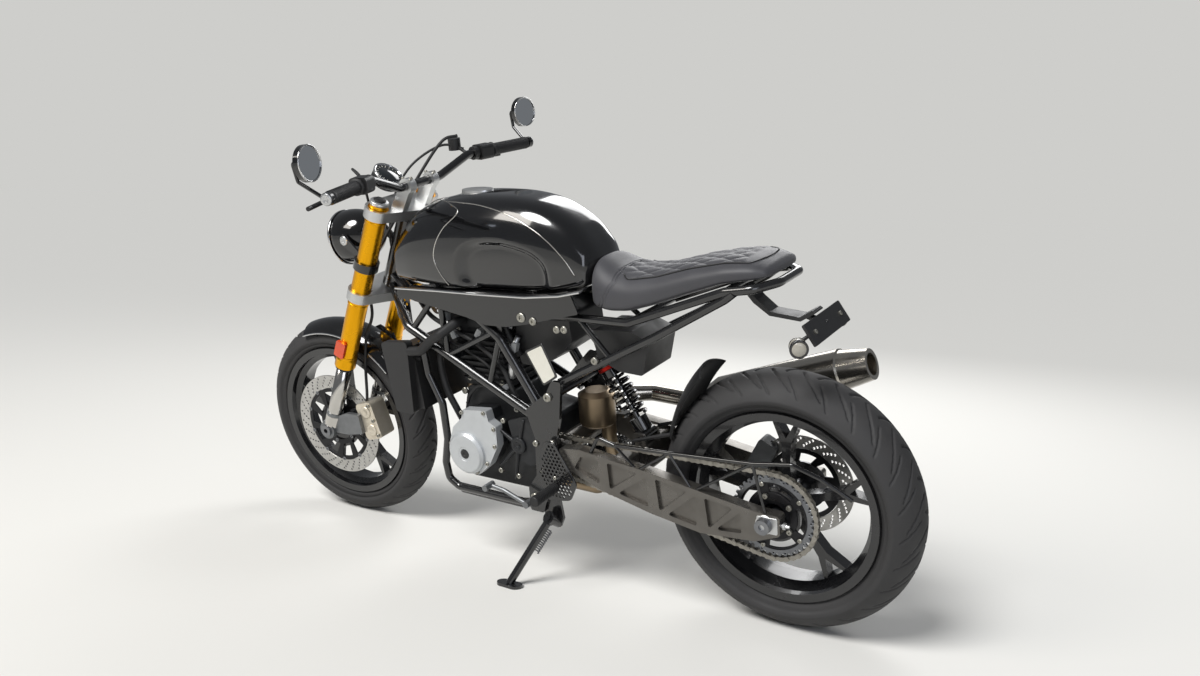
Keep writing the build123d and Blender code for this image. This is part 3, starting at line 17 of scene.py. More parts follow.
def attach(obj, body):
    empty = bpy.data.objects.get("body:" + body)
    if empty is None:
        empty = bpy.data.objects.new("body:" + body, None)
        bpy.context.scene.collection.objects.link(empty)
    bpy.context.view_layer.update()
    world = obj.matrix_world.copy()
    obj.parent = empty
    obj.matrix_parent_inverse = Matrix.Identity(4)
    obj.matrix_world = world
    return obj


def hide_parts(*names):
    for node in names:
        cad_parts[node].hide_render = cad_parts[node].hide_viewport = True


bl_info = {
    "name": "Standard Motorcycle",
    "version": (1, 0, 0),
    "blender": (4, 5, 0),
    "location": "View3D > Sidebar > Motorcycle",
    "description": "Dresses the packed frame of a standard motorcycle",
    "category": "Object",
}

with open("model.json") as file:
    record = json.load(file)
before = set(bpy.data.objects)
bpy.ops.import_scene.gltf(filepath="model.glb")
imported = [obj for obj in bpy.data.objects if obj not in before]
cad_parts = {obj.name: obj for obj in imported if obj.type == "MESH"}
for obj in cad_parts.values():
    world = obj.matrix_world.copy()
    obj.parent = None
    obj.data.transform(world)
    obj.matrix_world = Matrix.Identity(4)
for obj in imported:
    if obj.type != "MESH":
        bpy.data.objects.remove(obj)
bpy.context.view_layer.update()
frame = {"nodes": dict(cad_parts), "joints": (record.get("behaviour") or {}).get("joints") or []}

# The machine's driving dimensions, in millimetres and degrees
WHEELBASE = 1374.0
FRONT_TYRE_R = 293.0
FRONT_TYRE_W = 110.0
FRONT_CROWN_R = 57.0
REAR_TYRE_R = 306.0
REAR_TYRE_W = 150.0
REAR_CROWN_R = 82.0
BEAD_R = 215.9
FLANGE_H = 12.0
FRONT_RIM_W = 76.2
REAR_RIM_W = 101.6
RAKE = math.radians(25.1)
FORK_OFFSET = 31.6
STEER_REST = math.radians(3.0)
STEER_LOCK = math.radians(32.0)
LEAN = math.radians(11.0)
MILLIMETRE = 0.001

UP_FORK = np.array([-math.sin(RAKE), 0.0, math.cos(RAKE)])
AHEAD = np.array([math.cos(RAKE), 0.0, math.sin(RAKE)])
REAR_AXLE = np.array([0.0, 0.0, REAR_TYRE_R])
FRONT_AXLE = np.array([WHEELBASE, 0.0, FRONT_TYRE_R])
STEER_ORIGIN = FRONT_AXLE - AHEAD * FORK_OFFSET


def turn_matrix(axis, angle):
    """The rotation by an angle about a unit axis, by Rodrigues' formula."""
    x, y, z = axis
    cross = np.array([[0, -z, y], [z, 0, -x], [-y, x, 0]])
    return np.eye(3) + math.sin(angle) * cross + (1 - math.cos(angle)) * cross @ cross


LEAN_MATRIX = turn_matrix((1.0, 0.0, 0.0), -LEAN)
STEER_MATRIX = turn_matrix(UP_FORK, STEER_REST)
REAR_SPIN = next(j for j in frame["joints"] if j["name"] == "rear_wheel_spin")
SHIFT = np.array(REAR_SPIN["pos_m"]) / MILLIMETRE - LEAN_MATRIX @ REAR_AXLE


def fork_point(ahead, left, up):
    """The point ahead of the steering axis, left of it and up it from the axle's level."""
    return STEER_ORIGIN + AHEAD * ahead + np.array([0.0, left, 0.0]) + UP_FORK * up


def place(points, steers=False):
    """Points of the upright machine turned with the steering, leaned and moved into the frame."""
    points = np.asarray(points, float)
    if steers:
        points = (points - STEER_ORIGIN) @ STEER_MATRIX.T + STEER_ORIGIN
    return (points @ LEAN_MATRIX.T + SHIFT) * MILLIMETRE


# Meshes from arrays


def grid_faces(rows, columns, wrap_rows=False, wrap_columns=False):
    """Quads between the neighbouring points of a grid, closed along the ways named."""
    row = np.arange(rows if wrap_rows else rows - 1)
    column = np.arange(columns if wrap_columns else columns - 1)
    row, column = np.meshgrid(row, column, indexing="ij")
    next_row = (row + 1) % rows
    next_column = (column + 1) % columns
    corners = (
        row * columns + column,
        row * columns + next_column,
        next_row * columns + next_column,
        next_row * columns + column,
    )
    return np.stack(corners, -1).reshape(-1, 4)


def add_piece(name, points, faces, material, body, smooth=True, uv=None):
    """One mesh object from points in the frame's metres, riding on a body."""
    mesh = bpy.data.meshes.new(name)
    mesh.from_pydata(np.asarray(points).reshape(-1, 3).tolist(), [], [list(map(int, f)) for f in faces])
    if uv is not None:
        layer = mesh.uv_layers.new(name="UVMap")
        loops = np.empty(len(mesh.loops), np.int32)
        mesh.loops.foreach_get("vertex_index", loops)
        layer.data.foreach_set("uv", np.asarray(uv, np.float32)[loops].ravel())
    mesh.polygons.foreach_set("use_smooth", np.full(len(mesh.polygons), smooth))
    mesh.update()
    piece = bpy.data.objects.new(name, mesh)
    bpy.context.scene.collection.objects.link(piece)
    mesh.materials.append(material)
    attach(piece, body)
    return piece


def joined(parts):
    """Several (points, faces) as one pair."""
    points, faces, start = [], [], 0
    for part_points, part_faces in parts:
        part_points = np.asarray(part_points, float).reshape(-1, 3)
        points.append(part_points)
        faces.extend([[int(i) + start for i in face] for face in part_faces])
        start += len(part_points)
    return np.concatenate(points), faces


def upright_frame(direction):
    """Two unit vectors square to a direction and to each other."""
    direction = np.asarray(direction, float)
    direction = direction / np.linalg.norm(direction)
    helper = np.array([0.0, 0.0, 1.0]) if abs(direction[2]) < 0.9 else np.array([1.0, 0.0, 0.0])
    first = np.cross(helper, direction)
    first /= np.linalg.norm(first)
    return first, np.cross(direction, first)


def outwards(points, faces):
    """The same closed surface with its faces turned outwards, told by the sign of its volume:
    the sum over its triangles of a third of (first corner . face normal times area)."""
    points = np.asarray(points, float).reshape(-1, 3)
    fans = np.array([(face[0], face[i], face[i + 1]) for face in faces for i in range(1, len(face) - 1)])
    a, b, c = (points[fans[:, k]] - points.mean(0) for k in range(3))
    volume = (a * np.cross(b, c)).sum()
    return points, faces if volume > 0 else [face[::-1] for face in faces]


def turned(profile, base, direction, sides):
    """A profile of (along, radius) revolved about a line from base; ends on the line are closed."""
    profile = np.asarray(profile, float)
    direction = np.asarray(direction, float) / np.linalg.norm(direction)
    first, second = upright_frame(direction)
    angle = np.linspace(0, 2 * math.pi, sides, endpoint=False)
    ring = np.cos(angle)[:, None] * first + np.sin(angle)[:, None] * second
    points = (
        np.asarray(base, float)
        + profile[:, 0][:, None, None] * direction
        + profile[:, 1][:, None, None] * ring[None]
    )
    faces = grid_faces(len(profile), sides, wrap_columns=True).tolist()
    faces.append(list(range(sides))[::-1])
    last = (len(profile) - 1) * sides
    faces.append([last + i for i in range(sides)])
    return outwards(points, faces)


def swept(path, radius, sides=12):
    """A round tube along a path of points, its ring carried without twist."""
    path = np.asarray(path, float)
    radius = np.broadcast_to(radius, len(path))
    tangent = np.gradient(path, axis=0)
    tangent /= np.linalg.norm(tangent, axis=1)[:, None]
    first, _ = upright_frame(tangent[0])
    firsts = []
    for t in tangent:
        first = first - t * (first @ t)
        first = first / np.linalg.norm(first)
        firsts.append(first)
    firsts = np.array(firsts)
    seconds = np.cross(tangent, firsts)
    angle = np.linspace(0, 2 * math.pi, sides, endpoint=False)
    points = (
        path[:, None]
        + radius[:, None, None] * (np.cos(angle)[None, :, None] * firsts[:, None]
                                   + np.sin(angle)[None, :, None] * seconds[:, None])
    )
    faces = grid_faces(len(path), sides, wrap_columns=True).tolist()
    faces.append(list(range(sides))[::-1])
    last = (len(path) - 1) * sides
    faces.append([last + i for i in range(sides)])
    return outwards(points, faces)


def smooth_path(points, count):
    """A smooth line through the points, by Catmull and Rom's cubic."""
    points = np.asarray(points, float)
    padded = np.concatenate([2 * points[:1] - points[1:2], points, 2 * points[-1:] - points[-2:-1]])
    place_at = np.linspace(0, len(points) - 1, count)
    index = np.minimum(place_at.astype(int), len(points) - 2)
    t = (place_at - index)[:, None]
    a, b, c, d = (padded[index + k] for k in range(4))
    return 0.5 * (2 * b + (c - a) * t + (2 * a - 5 * b + 4 * c - d) * t**2 + (3 * b - a - 3 * c + d) * t**3)


def circle(u, v, radius, count):
    """Points round a circle in a plate's own plane."""
    angle = np.linspace(0, 2 * math.pi, count, endpoint=False)
    return np.stack([u + radius * np.cos(angle), v + radius * np.sin(angle)], -1)


def flat_plate(loops, thickness, edge=0.3):
    """A flat plate with holes: closed loops filled even-odd, given a thickness and a small chamfer."""
    curve = bpy.data.curves.new("outline", "CURVE")
    curve.dimensions = "2D"
    curve.fill_mode = "BOTH"
    curve.extrude = thickness / 2 - edge
    curve.bevel_depth = edge
    curve.bevel_resolution = 0
    curve.offset = -edge
    for loop in loops:
        spline = curve.splines.new("POLY")
        spline.points.add(len(loop) - 1)
        flat = np.zeros((len(loop), 4))
        flat[:, :2] = loop
        flat[:, 3] = 1
        spline.points.foreach_set("co", flat.ravel())
        spline.use_cyclic_u = True
    holder = bpy.data.objects.new("outline", curve)
    bpy.context.scene.collection.objects.link(holder)
    mesh = bpy.data.meshes.new_from_object(holder.evaluated_get(bpy.context.evaluated_depsgraph_get()))
    shape = bmesh.new()
    shape.from_mesh(mesh)
    bmesh.ops.remove_doubles(shape, verts=shape.verts, dist=0.001)
    bmesh.ops.recalc_face_normals(shape, faces=shape.faces)
    shape.to_mesh(mesh)
    shape.free()
    points = np.empty(len(mesh.vertices) * 3, np.float32)
    mesh.vertices.foreach_get("co", points)
    faces = [list(polygon.vertices) for polygon in mesh.polygons]
    bpy.data.objects.remove(holder)
    bpy.data.curves.remove(curve)
    bpy.data.meshes.remove(mesh)
    return points.reshape(-1, 3).astype(float), faces


def stood(part, origin, first=(1.0, 0.0, 0.0), second=(0.0, 0.0, 1.0)):
    """A plate's points carried to an origin, its own two directions laid along first and second."""
    points, faces = part
    axes = np.stack([first, second, np.cross(first, second)])
    return points @ axes + np.asarray(origin, float), faces


def bolt(at, direction, radius, height, sides=12):
    """A socket head screw: a round head with a chamfer and a sunk socket."""
    profile = (
        (0, radius), (height * 0.8, radius), (height, radius * 0.86), (height, radius * 0.4),
        (height * 0.6, radius * 0.36), (height * 0.55, radius * 0.02),
    )
    return turned(profile, at, direction, sides)


def smoothstep(low, high, value):
    """0 below low, 1 above high, and a smooth rise between."""
    t = np.clip((value - low) / (high - low), 0, 1)
    return t * t * (3 - 2 * t)


# Materials


def linear(hex_colour):
    """An sRGB hex colour as linear red, green, blue and alpha."""
    value = int(hex_colour.lstrip("#"), 16)
    channels = [(value >> bits & 255) / 255 for bits in (16, 8, 0)]
    return [c / 12.92 if c <= 0.04045 else ((c + 0.055) / 1.055) ** 2.4 for c in channels] + [1.0]


def add_node(material, kind, inputs=None, **settings):
    """Adds a shader node with its settings, input values and links."""
    made = material.node_tree.nodes.new(kind)
    for name, value in settings.items():
        setattr(made, name, value)
    for socket, value in (inputs or {}).items():
        if isinstance(value, bpy.types.NodeSocket):
            material.node_tree.links.new(value, made.inputs[socket])
        else:
            made.inputs[socket].default_value = value
    return made


def new_material(name, inputs):
    """A material with one Principled shader; its values are set on the shader's sockets."""
    material = bpy.data.materials.new(name)
    material.use_nodes = True
    material.node_tree.nodes.clear()
    shader = add_node(material, "ShaderNodeBsdfPrincipled", inputs)
    out = add_node(material, "ShaderNodeOutputMaterial")
    material.node_tree.links.new(shader.outputs["BSDF"], out.inputs["Surface"])
    return material, shader


def object_point(material):
    """Object coordinates, in metres."""
    return add_node(material, "ShaderNodeTexCoord").outputs["Object"]


def surfaced(name, base, second, metallic, roughness, spread=0.08, patch_mm=60.0, grain_mm=1.2,
             relief_mm=0.03, coat=0.0, detail=3.0, **extra):
    """A finish with two close colours in soft patches, uneven gloss and a fine grain."""
    sockets = {"Metallic": metallic, "Coat Weight": coat, "Coat Roughness": 0.04}
    sockets.update(extra)
    material, shader = new_material(name, sockets)
    point = object_point(material)
    links = material.node_tree.links
    patch = add_node(material, "ShaderNodeTexNoise",
                     {"Vector": point, "Scale": 1000 / patch_mm, "Detail": detail, "Roughness": 0.6})
    mix = add_node(material, "ShaderNodeMix", {"Factor": patch.outputs["Fac"]}, data_type="RGBA")
    mix.inputs["A"].default_value = linear(base)
    mix.inputs["B"].default_value = linear(second)
    links.new(mix.outputs["Result"], shader.inputs["Base Color"])
    gloss = add_node(material, "ShaderNodeMapRange",
                     {"Value": patch.outputs["Fac"], "From Min": 0.3, "From Max": 0.7,
                      "To Min": max(roughness - spread, 0.02), "To Max": roughness + spread})
    links.new(gloss.outputs["Result"], shader.inputs["Roughness"])
    grain = add_node(material, "ShaderNodeTexNoise",
                     {"Vector": point, "Scale": 1000 / grain_mm, "Detail": 2.0})
    bump = add_node(material, "ShaderNodeBump",
                    {"Height": grain.outputs["Fac"], "Strength": 0.6, "Distance": relief_mm * MILLIMETRE})
    links.new(bump.outputs["Normal"], shader.inputs["Normal"])
    return material


MATERIALS = {}


def make_materials(sizes):
    """Every finish on the machine, named for what it is."""
    m = MATERIALS
    # Powder coated steel tube: a smooth satin black with a faint orange peel
    m["frame"] = surfaced("Powder coated steel", "#0d0d0e", "#131314", 0.0, 0.24, 0.05, 90, 2.5, 0.02, 0.6,
                          **{"Specular IOR Level": 0.6})
    # Two pack paint under lacquer: deep black, mirror gloss, faint dust
    m["tank"] = surfaced("Lacquered black paint", sizes.tank_colour, "#0c0c0e", 0.0, 0.14, 0.03, 120, 4.0, 0.004,
                         coat=1.0)
    # Anodised aluminium tube: bright yellow gold with fine lines from the lathe
    m["gold"] = surfaced("Gold anodised aluminium", sizes.fork_colour, "#e6a415", 1.0, 0.28, 0.04, 120, 0.8, 0.004)
    m["sand"] = surfaced("Sand anodised aluminium", "#ddd6c8", "#c3b9a6", 0.7, 0.38, 0.08, 30, 1.0, 0.03)
    # Machined aluminium: pale grey with brushed lines
    m["machined"] = surfaced("Machined aluminium", "#d2d3d3", "#bfc0c0", 0.9, 0.36, 0.07, 40, 0.7, 0.02)
    # Sand cast aluminium, blasted: grey with a coarse grain
    m["cast"] = surfaced("Blasted cast aluminium", "#86888a", "#737577", 0.85, 0.48, 0.08, 30, 1.4, 0.12)
    # Dark painted casting of the crankcase and the cylinder, with oily patches
    m["engine"] = surfaced("Dark painted casting", "#2a2b2d", "#1d1e20", 0.35, 0.45, 0.14, 35, 1.6, 0.2)
    # Silver paint on a blasted casting
    m["cover"] = surfaced("Silver painted casting", "#c4c7c9", "#b3b6b8", 0.45, 0.42, 0.06, 45, 1.4, 0.1)
    # Raw cast arm in a titanium grey, worn brighter in patches
    m["arm"] = surfaced("Titanium grey casting", "#7b7874", "#5d5a55", 0.85, 0.3, 0.08, 70, 1.6, 0.06)
    m["wheel"] = surfaced("Black painted alloy", "#101011", "#18181a", 0.0, 0.24, 0.05, 60, 2.0, 0.012, 0.4,
                          **{"Specular IOR Level": 0.6})
    # Ground stainless steel of the brake discs, tinted brown by heat
    m["disc"] = surfaced("Ground stainless steel", "#c6c5c2", "#aaa8a4", 0.9, 0.32, 0.08, 25, 0.6, 0.02)
    m["sprocket"] = surfaced("Plated sprocket steel", "#85878a", "#66686c", 0.9, 0.36, 0.1, 18, 0.8, 0.03)
    # Black anodised carrier of the discs
    m["carrier"] = surfaced("Black anodised aluminium", "#1c1c1e", "#262628", 0.6, 0.36, 0.06, 30, 1.0, 0.02)
    m["bolt"] = surfaced("Bright zinc plated screws", "#a9a79f", "#8a8880", 0.9, 0.32, 0.1, 9, 0.8, 0.02)
    m["steel"] = surfaced("Zinc plated steel", "#8f9092", "#717377", 0.9, 0.4, 0.1, 18, 0.8, 0.03)
    m["chain"] = surfaced("Oiled chain steel", "#a8a49c", "#7b7871", 0.9, 0.34, 0.12, 14, 0.8, 0.03)
    # Exhaust stainless steel blued and browned by heat
    m["exhaust"] = surfaced("Heat tinted stainless steel", "#a08e75", "#7a6b57", 0.92, 0.32, 0.06, 120, 1.0, 0.005)
    m["polished"] = surfaced("Polished stainless steel", "#cfcdc9", "#b9b6b0", 1.0, 0.16, 0.06, 90, 1.0, 0.005)
    m["muffler"] = surfaced("Brushed stainless steel", "#c4bfb6", "#b3ada3", 1.0, 0.22, 0.02, 200, 0.8, 0.003)
    m["red"] = surfaced("Red anodised aluminium", "#b3241c", "#8f1914", 0.9, 0.35, 0.06, 12, 0.8, 0.01)
    m["chrome"] = surfaced("Chrome plate", "#dadada", "#c8c8c8", 1.0, 0.08, 0.03, 60, 1.0, 0.002)
    # Natural rubber of the tyres: dark grey, dull, dusty on the tread
    m["tyre"] = surfaced("Vulcanised tyre rubber", "#242425", "#333232", 0.0, 0.72, 0.1, 70, 1.2, 0.08)
    m["rubber"] = surfaced("Moulded black rubber", "#161617", "#1e1e1f", 0.0, 0.6, 0.08, 30, 0.8, 0.05)
    m["plastic"] = surfaced("Grained black plastic", "#1a1a1b", "#202021", 0.0, 0.45, 0.05, 40, 0.7, 0.06)
    m["gloss"] = surfaced("Gloss black plastic", "#0b0b0c", "#101011", 0.0, 0.12, 0.03, 60, 2.0, 0.004, coat=0.6)
    m["reflector"] = surfaced("Orange acrylic", "#d2491a", "#b83a12", 0.0, 0.18, 0.04, 12, 2.0, 0.2, coat=0.5)
    m["amber"] = surfaced("Frosted lamp lens", "#a5a197", "#8f8b80", 0.0, 0.3, 0.05, 10, 2.0, 0.2, coat=0.5)
    m["white"] = surfaced("Satin white paint", "#d8d6cc", "#c9c6ba", 0.0, 0.4, 0.05, 30, 1.0, 0.02)
    m["connector"] = surfaced("Grey connector plastic", "#8d8f90", "#77797b", 0.0, 0.4, 0.05, 20, 0.8, 0.02)
    m["dial"] = surfaced("Display glass", "#0d1114", "#141a1e", 0.0, 0.08, 0.02, 40, 2.0, 0.0, coat=1.0)
    glass, _ = new_material("Clear lamp glass", {"Base Color": linear("#f4f7f8"), "Roughness": 0.02,
                                                 "Transmission Weight": 1.0, "IOR": 1.45})
    m["glass"] = glass
    mirror, _ = new_material("Silvered mirror glass", {"Base Color": linear("#e9ecee"), "Roughness": 0.02,
                                                       "Metallic": 1.0})
    m["mirror"] = mirror
    m["leather"] = leather(sizes)
    return m


def leather(sizes):
    """Full grain leather: a pebble of small cells, two close tones in patches, with a soft sheen."""
    material, shader = new_material("Full grain leather", {"Specular IOR Level": 0.45, "Sheen Weight": 0.15,
                                                           "Sheen Roughness": 0.4})
    point = object_point(material)
    links = material.node_tree.links
    cells = add_node(material, "ShaderNodeTexVoronoi", {"Vector": point, "Scale": 1000 / 2.6},
                     feature="DISTANCE_TO_EDGE")
    tone = add_node(material, "ShaderNodeTexNoise", {"Vector": point, "Scale": 1000 / 90, "Detail": 4.0})
    mix = add_node(material, "ShaderNodeMix", {"Factor": tone.outputs["Fac"]}, data_type="RGBA")
    mix.inputs["A"].default_value = linear(sizes.seat_colour)
    mix.inputs["B"].default_value = linear("#434347")
    links.new(mix.outputs["Result"], shader.inputs["Base Color"])
    gloss = add_node(material, "ShaderNodeMapRange",
                     {"Value": tone.outputs["Fac"], "To Min": 0.4, "To Max": 0.62})
    links.new(gloss.outputs["Result"], shader.inputs["Roughness"])
    pore = add_node(material, "ShaderNodeMapRange",
                    {"Value": cells.outputs["Distance"], "From Max": 0.25, "To Min": 0.0, "To Max": 1.0})
    bump = add_node(material, "ShaderNodeBump",
                    {"Height": pore.outputs["Result"], "Strength": 0.5, "Distance": 0.12 * MILLIMETRE})
    links.new(bump.outputs["Normal"], shader.inputs["Normal"])
    return material


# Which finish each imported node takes
NODE_FINISH = {
    "alternator_cover": "cover", "bar_controls": "plastic", "battery_box": "plastic",
    "belly_rails": "frame", "airbox": "plastic", "chain": "chain", "chain_guard": "gloss", "coolant_hose": "rubber",
    "engine": "engine", "exhaust_pipe": "exhaust", "foot_levers": "cast", "footrests": "frame",
    "fork_legs": "cast", "fork_tubes": "gold", "front_axle": "steel", "front_caliper": "sand",
    "front_disc": "disc", "front_fender": "gloss", "front_rim": "wheel", "front_tyre": "tyre",
    "fuel_cap": "machined", "grips": "rubber", "handlebar": "frame", "headlight": "gloss",
    "headlight_lens": "glass", "hugger": "plastic", "instrument": "plastic",
    "lamp_brackets": "frame", "lower_clamp": "machined", "main_frame": "frame",
    "mirror_glasses": "mirror", "mirrors": "gloss", "pivot_bolt": "steel",
    "plate_holder": "plastic", "radiator": "plastic", "rear_axle": "steel",
    "rear_caliper": "cast", "rear_disc": "disc", "rear_rim": "wheel", "rear_sprocket": "steel",
    "reflectors": "reflector",
    "rear_tyre": "tyre", "seat": "leather", "shock": "gloss", "shock_spring": "gloss",
    "side_panels": "gloss", "side_stand": "frame", "silencer": "muffler",
    "sprocket_cover": "engine", "subframe": "frame", "swing_arm": "arm", "tail_lamps": "amber",
    "tank": "tank", "tank_trim": "chrome", "upper_clamp": "machined",
}

# Seat stations: forward, half width, bottom, top
SEAT = np.array([
    (2, 62, 836, 848), (10, 80, 833, 858), (34, 93, 827, 866), (60, 100, 823, 869), (102, 104, 815, 867),
    (185, 108, 785, 852), (266, 110, 755, 829), (335, 109, 733, 819), (385, 104, 727, 826),
    (412, 98, 728, 838), (431, 90, 731, 845), (443, 74, 740, 840),
], float)
QUILT_MM = 33.0
QUILT_FROM = 66.0
QUILT_EDGE = 0.74
QUILT_TO = 372.0


def seat_surface(rows=340, columns=220):
    """The seat: superellipse sections between the stations, a flat base, and a top
    quilted in diamonds whose height falls to zero along two crossing sets of seams."""
    u = np.linspace(0, 1, rows)
    forward = SEAT[0, 0] + (SEAT[-1, 0] - SEAT[0, 0]) * (0.5 - 0.5 * np.cos(math.pi * u))
    half, low, high = (np.interp(forward, SEAT[:, 0], SEAT[:, k]) for k in (1, 2, 3))
    kernel = np.hanning(31)
    kernel /= kernel.sum()

    def eased(values):
        return np.convolve(np.pad(values, 15, mode="edge"), kernel, mode="valid")

    half, low, high = eased(half), eased(low), eased(high)
    end = np.sqrt(np.clip(1 - (2 * u - 1) ** 24, 0, 1))
    angle = np.linspace(0, 2 * math.pi, columns, endpoint=False)
    c, s = np.cos(angle), np.sin(angle)
    wide = np.sign(c) * np.abs(c) ** 0.72
    upper = np.clip(s, 0, 1) ** 0.86
    lower = np.clip(-s, 0, 1) ** 0.35
    waist = low + 0.38 * (high - low)
    left = half[:, None] * end[:, None] * wide[None]
    up = waist[:, None] + end[:, None] * (
        (high - waist)[:, None] * upper[None] - (waist - low)[:, None] * lower[None]
    )
    points = np.stack([np.broadcast_to(forward[:, None], left.shape), left, up], -1)
    # quilting and seams, pushed along the surface's normal
    share = left / np.maximum(half[:, None], 1)
    edge = QUILT_EDGE - 0.2 * smoothstep(340, 372, points[..., 0])
    inside = (1 - smoothstep(edge - 0.03, edge + 0.01, np.abs(share))) * (up > waist[:, None])
    inside *= smoothstep(QUILT_FROM - 8, QUILT_FROM + 6, points[..., 0])
    inside *= 1 - smoothstep(QUILT_TO - 4, QUILT_TO + 8, points[..., 0])
    along = points[..., 0] / QUILT_MM
    across = left / (QUILT_MM * 0.62)
    first = np.abs(np.sin(math.pi * (along + across) / 2))
    second = np.abs(np.sin(math.pi * (along - across) / 2))
    pillow = (first * second) ** 0.4
    lift = inside * (pillow * 4.4 - 1.6)
    rim = np.exp(-((np.abs(share) - edge) * half[:, None] / 2.2) ** 2)
    rim = rim * (up > waist[:, None]) * smoothstep(QUILT_FROM - 30, QUILT_FROM, points[..., 0])
    rim = rim * (1 - smoothstep(QUILT_TO, QUILT_TO + 12, points[..., 0]))
    lift = lift - 1.8 * rim
    for seam_at, depth in ((378.0, 2.6), (386.0, 2.2)):
        slant = seam_at + 34 * np.clip((waist[:, None] + 20 - up) / 60, -0.3, 1)
        lift = lift - depth * np.exp(-((points[..., 0] - slant) / 1.8) ** 2) * (s > -0.6)[None]
    du = np.gradient(points, axis=0)
    dv = np.gradient(points, axis=1)
    normal = np.cross(du, dv)
    normal /= np.maximum(np.linalg.norm(normal, axis=-1), 1e-9)[..., None]
    centre = np.stack([forward, 0 * forward, (low + high) / 2], -1)[:, None]
    outward = np.sign((normal * (points - centre)).sum(-1))
    points = points + normal * (outward * lift)[..., None]
    return points


def seat_piping():
    """The corded seam between the quilted top and the plain sides, round the tail in one loop."""
    forward = np.concatenate([np.linspace(QUILT_TO - 14, 52, 60), 52 - 22 * np.sin(np.linspace(0, math.pi, 41))[1:-1],
                              np.linspace(52, QUILT_TO - 14, 60)])
    share = np.concatenate([np.full(60, 1.0), np.cos(np.linspace(0, math.pi, 41))[1:-1], np.full(60, -1.0)])
    share = share * QUILT_EDGE * (1 - 0.2 / QUILT_EDGE * smoothstep(340, 372, forward))
    half, low, high = (np.interp(forward, SEAT[:, 0], SEAT[:, k]) for k in (1, 2, 3))
    rise = (1 - np.abs(share) ** (2 / 0.72)) ** 0.5
    waist = low + 0.38 * (high - low)
    return np.stack([forward, half * share, waist + (high - waist) * rise**0.86], -1)


def capped(points, faces, rows, columns):
    """Adds a closing face at each end of a grid that is wrapped by columns."""
    faces = faces.tolist()
    faces.append(list(range(columns))[::-1])
    faces.append([(rows - 1) * columns + i for i in range(columns)])
    return points.reshape(-1, 3), faces


class SceneSizes(bpy.types.PropertyGroup):
    """Sizes and colours of the whole machine."""

    seat_colour: bpy.props.StringProperty(name="Seat colour", description="sRGB hex of the leather", default="#333336")
    tank_colour: bpy.props.StringProperty(name="Tank colour", description="sRGB hex of the paint", default="#050506")
    fork_colour: bpy.props.StringProperty(name="Fork colour", description="sRGB hex of the anodising",
                                          default="#f0ae1c")
    floor_colour: bpy.props.StringProperty(name="Floor colour", description="sRGB hex of the floor", default="#d9d8d4")
    tread_depth: bpy.props.FloatProperty(name="Tread depth", description="Depth of the tyres' grooves in metres",
                                         default=0.0055, unit="LENGTH")


def paint_frame():
    """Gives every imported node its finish."""
    for name, finish in NODE_FINISH.items():
        node = frame["nodes"].get(name)
        if node is None:
            raise RuntimeError(f"the frame has no node {name}")
        node.data.materials.clear()
        node.data.materials.append(MATERIALS[finish])


class MOTORCYCLE_OT_finishes(bpy.types.Operator):
    """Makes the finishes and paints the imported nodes"""

    bl_idname = "motorcycle.finishes"
    bl_label = "Finishes"

    def execute(self, context):
        make_materials(context.scene.motorcycle)
        paint_frame()
        return {"FINISHED"}


class MOTORCYCLE_OT_seat(bpy.types.Operator):
    """Sews the quilted seat"""

    bl_idname = "motorcycle.seat"
    bl_label = "Seat"

    def execute(self, context):
        surface = seat_surface()
        rows, columns, _ = surface.shape
        faces = grid_faces(rows, columns, wrap_columns=True)
        points, faces = capped(place(surface), faces, rows, columns)
        piece = add_piece("seat_cover", points, faces, MATERIALS["leather"], "chassis")
        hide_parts("seat")
        points, faces = swept(seat_piping(), 1.9, 10)
        add_piece("seat_piping", place(points), faces, MATERIALS["rubber"], "chassis")
        return {"FINISHED"}


# Tyre profile and tread
TREAD_GROOVE_MM = 6.4


def tread(across, along, pitch, width, depth):
    """How deep the tread is cut: long curved grooves that sweep back from the middle,
    alternately left and right, with short ones between them at the shoulders."""
    depth_map = np.zeros(np.broadcast(across, along).shape)
    reach = width / 2
    for hand, offset in ((1, 0.0), (-1, 0.5)):
        y = hand * across / reach
        curve = offset * pitch + 1.15 * pitch * np.clip(y + 0.12, 0, 1) ** 1.6
        distance = (along - curve + pitch / 2) % pitch - pitch / 2
        mask = 1 - smoothstep(TREAD_GROOVE_MM * 0.32, TREAD_GROOVE_MM * 0.62, np.abs(distance))
        mask = mask * smoothstep(-0.12, -0.04, y) * (1 - smoothstep(0.72, 0.8, y))
        depth_map = np.maximum(depth_map, mask)
        curve = (offset + 0.5) * pitch + 0.9 * pitch * np.clip(y, 0, 1) ** 1.4
        distance = (along - curve + pitch / 2) % pitch - pitch / 2
        mask = 1 - smoothstep(TREAD_GROOVE_MM * 0.25, TREAD_GROOVE_MM * 0.5, np.abs(distance))
        mask = mask * smoothstep(0.3, 0.36, y) * (1 - smoothstep(0.86, 0.92, y))
        depth_map = np.maximum(depth_map, mask * 0.8)
    return depth_map * depth


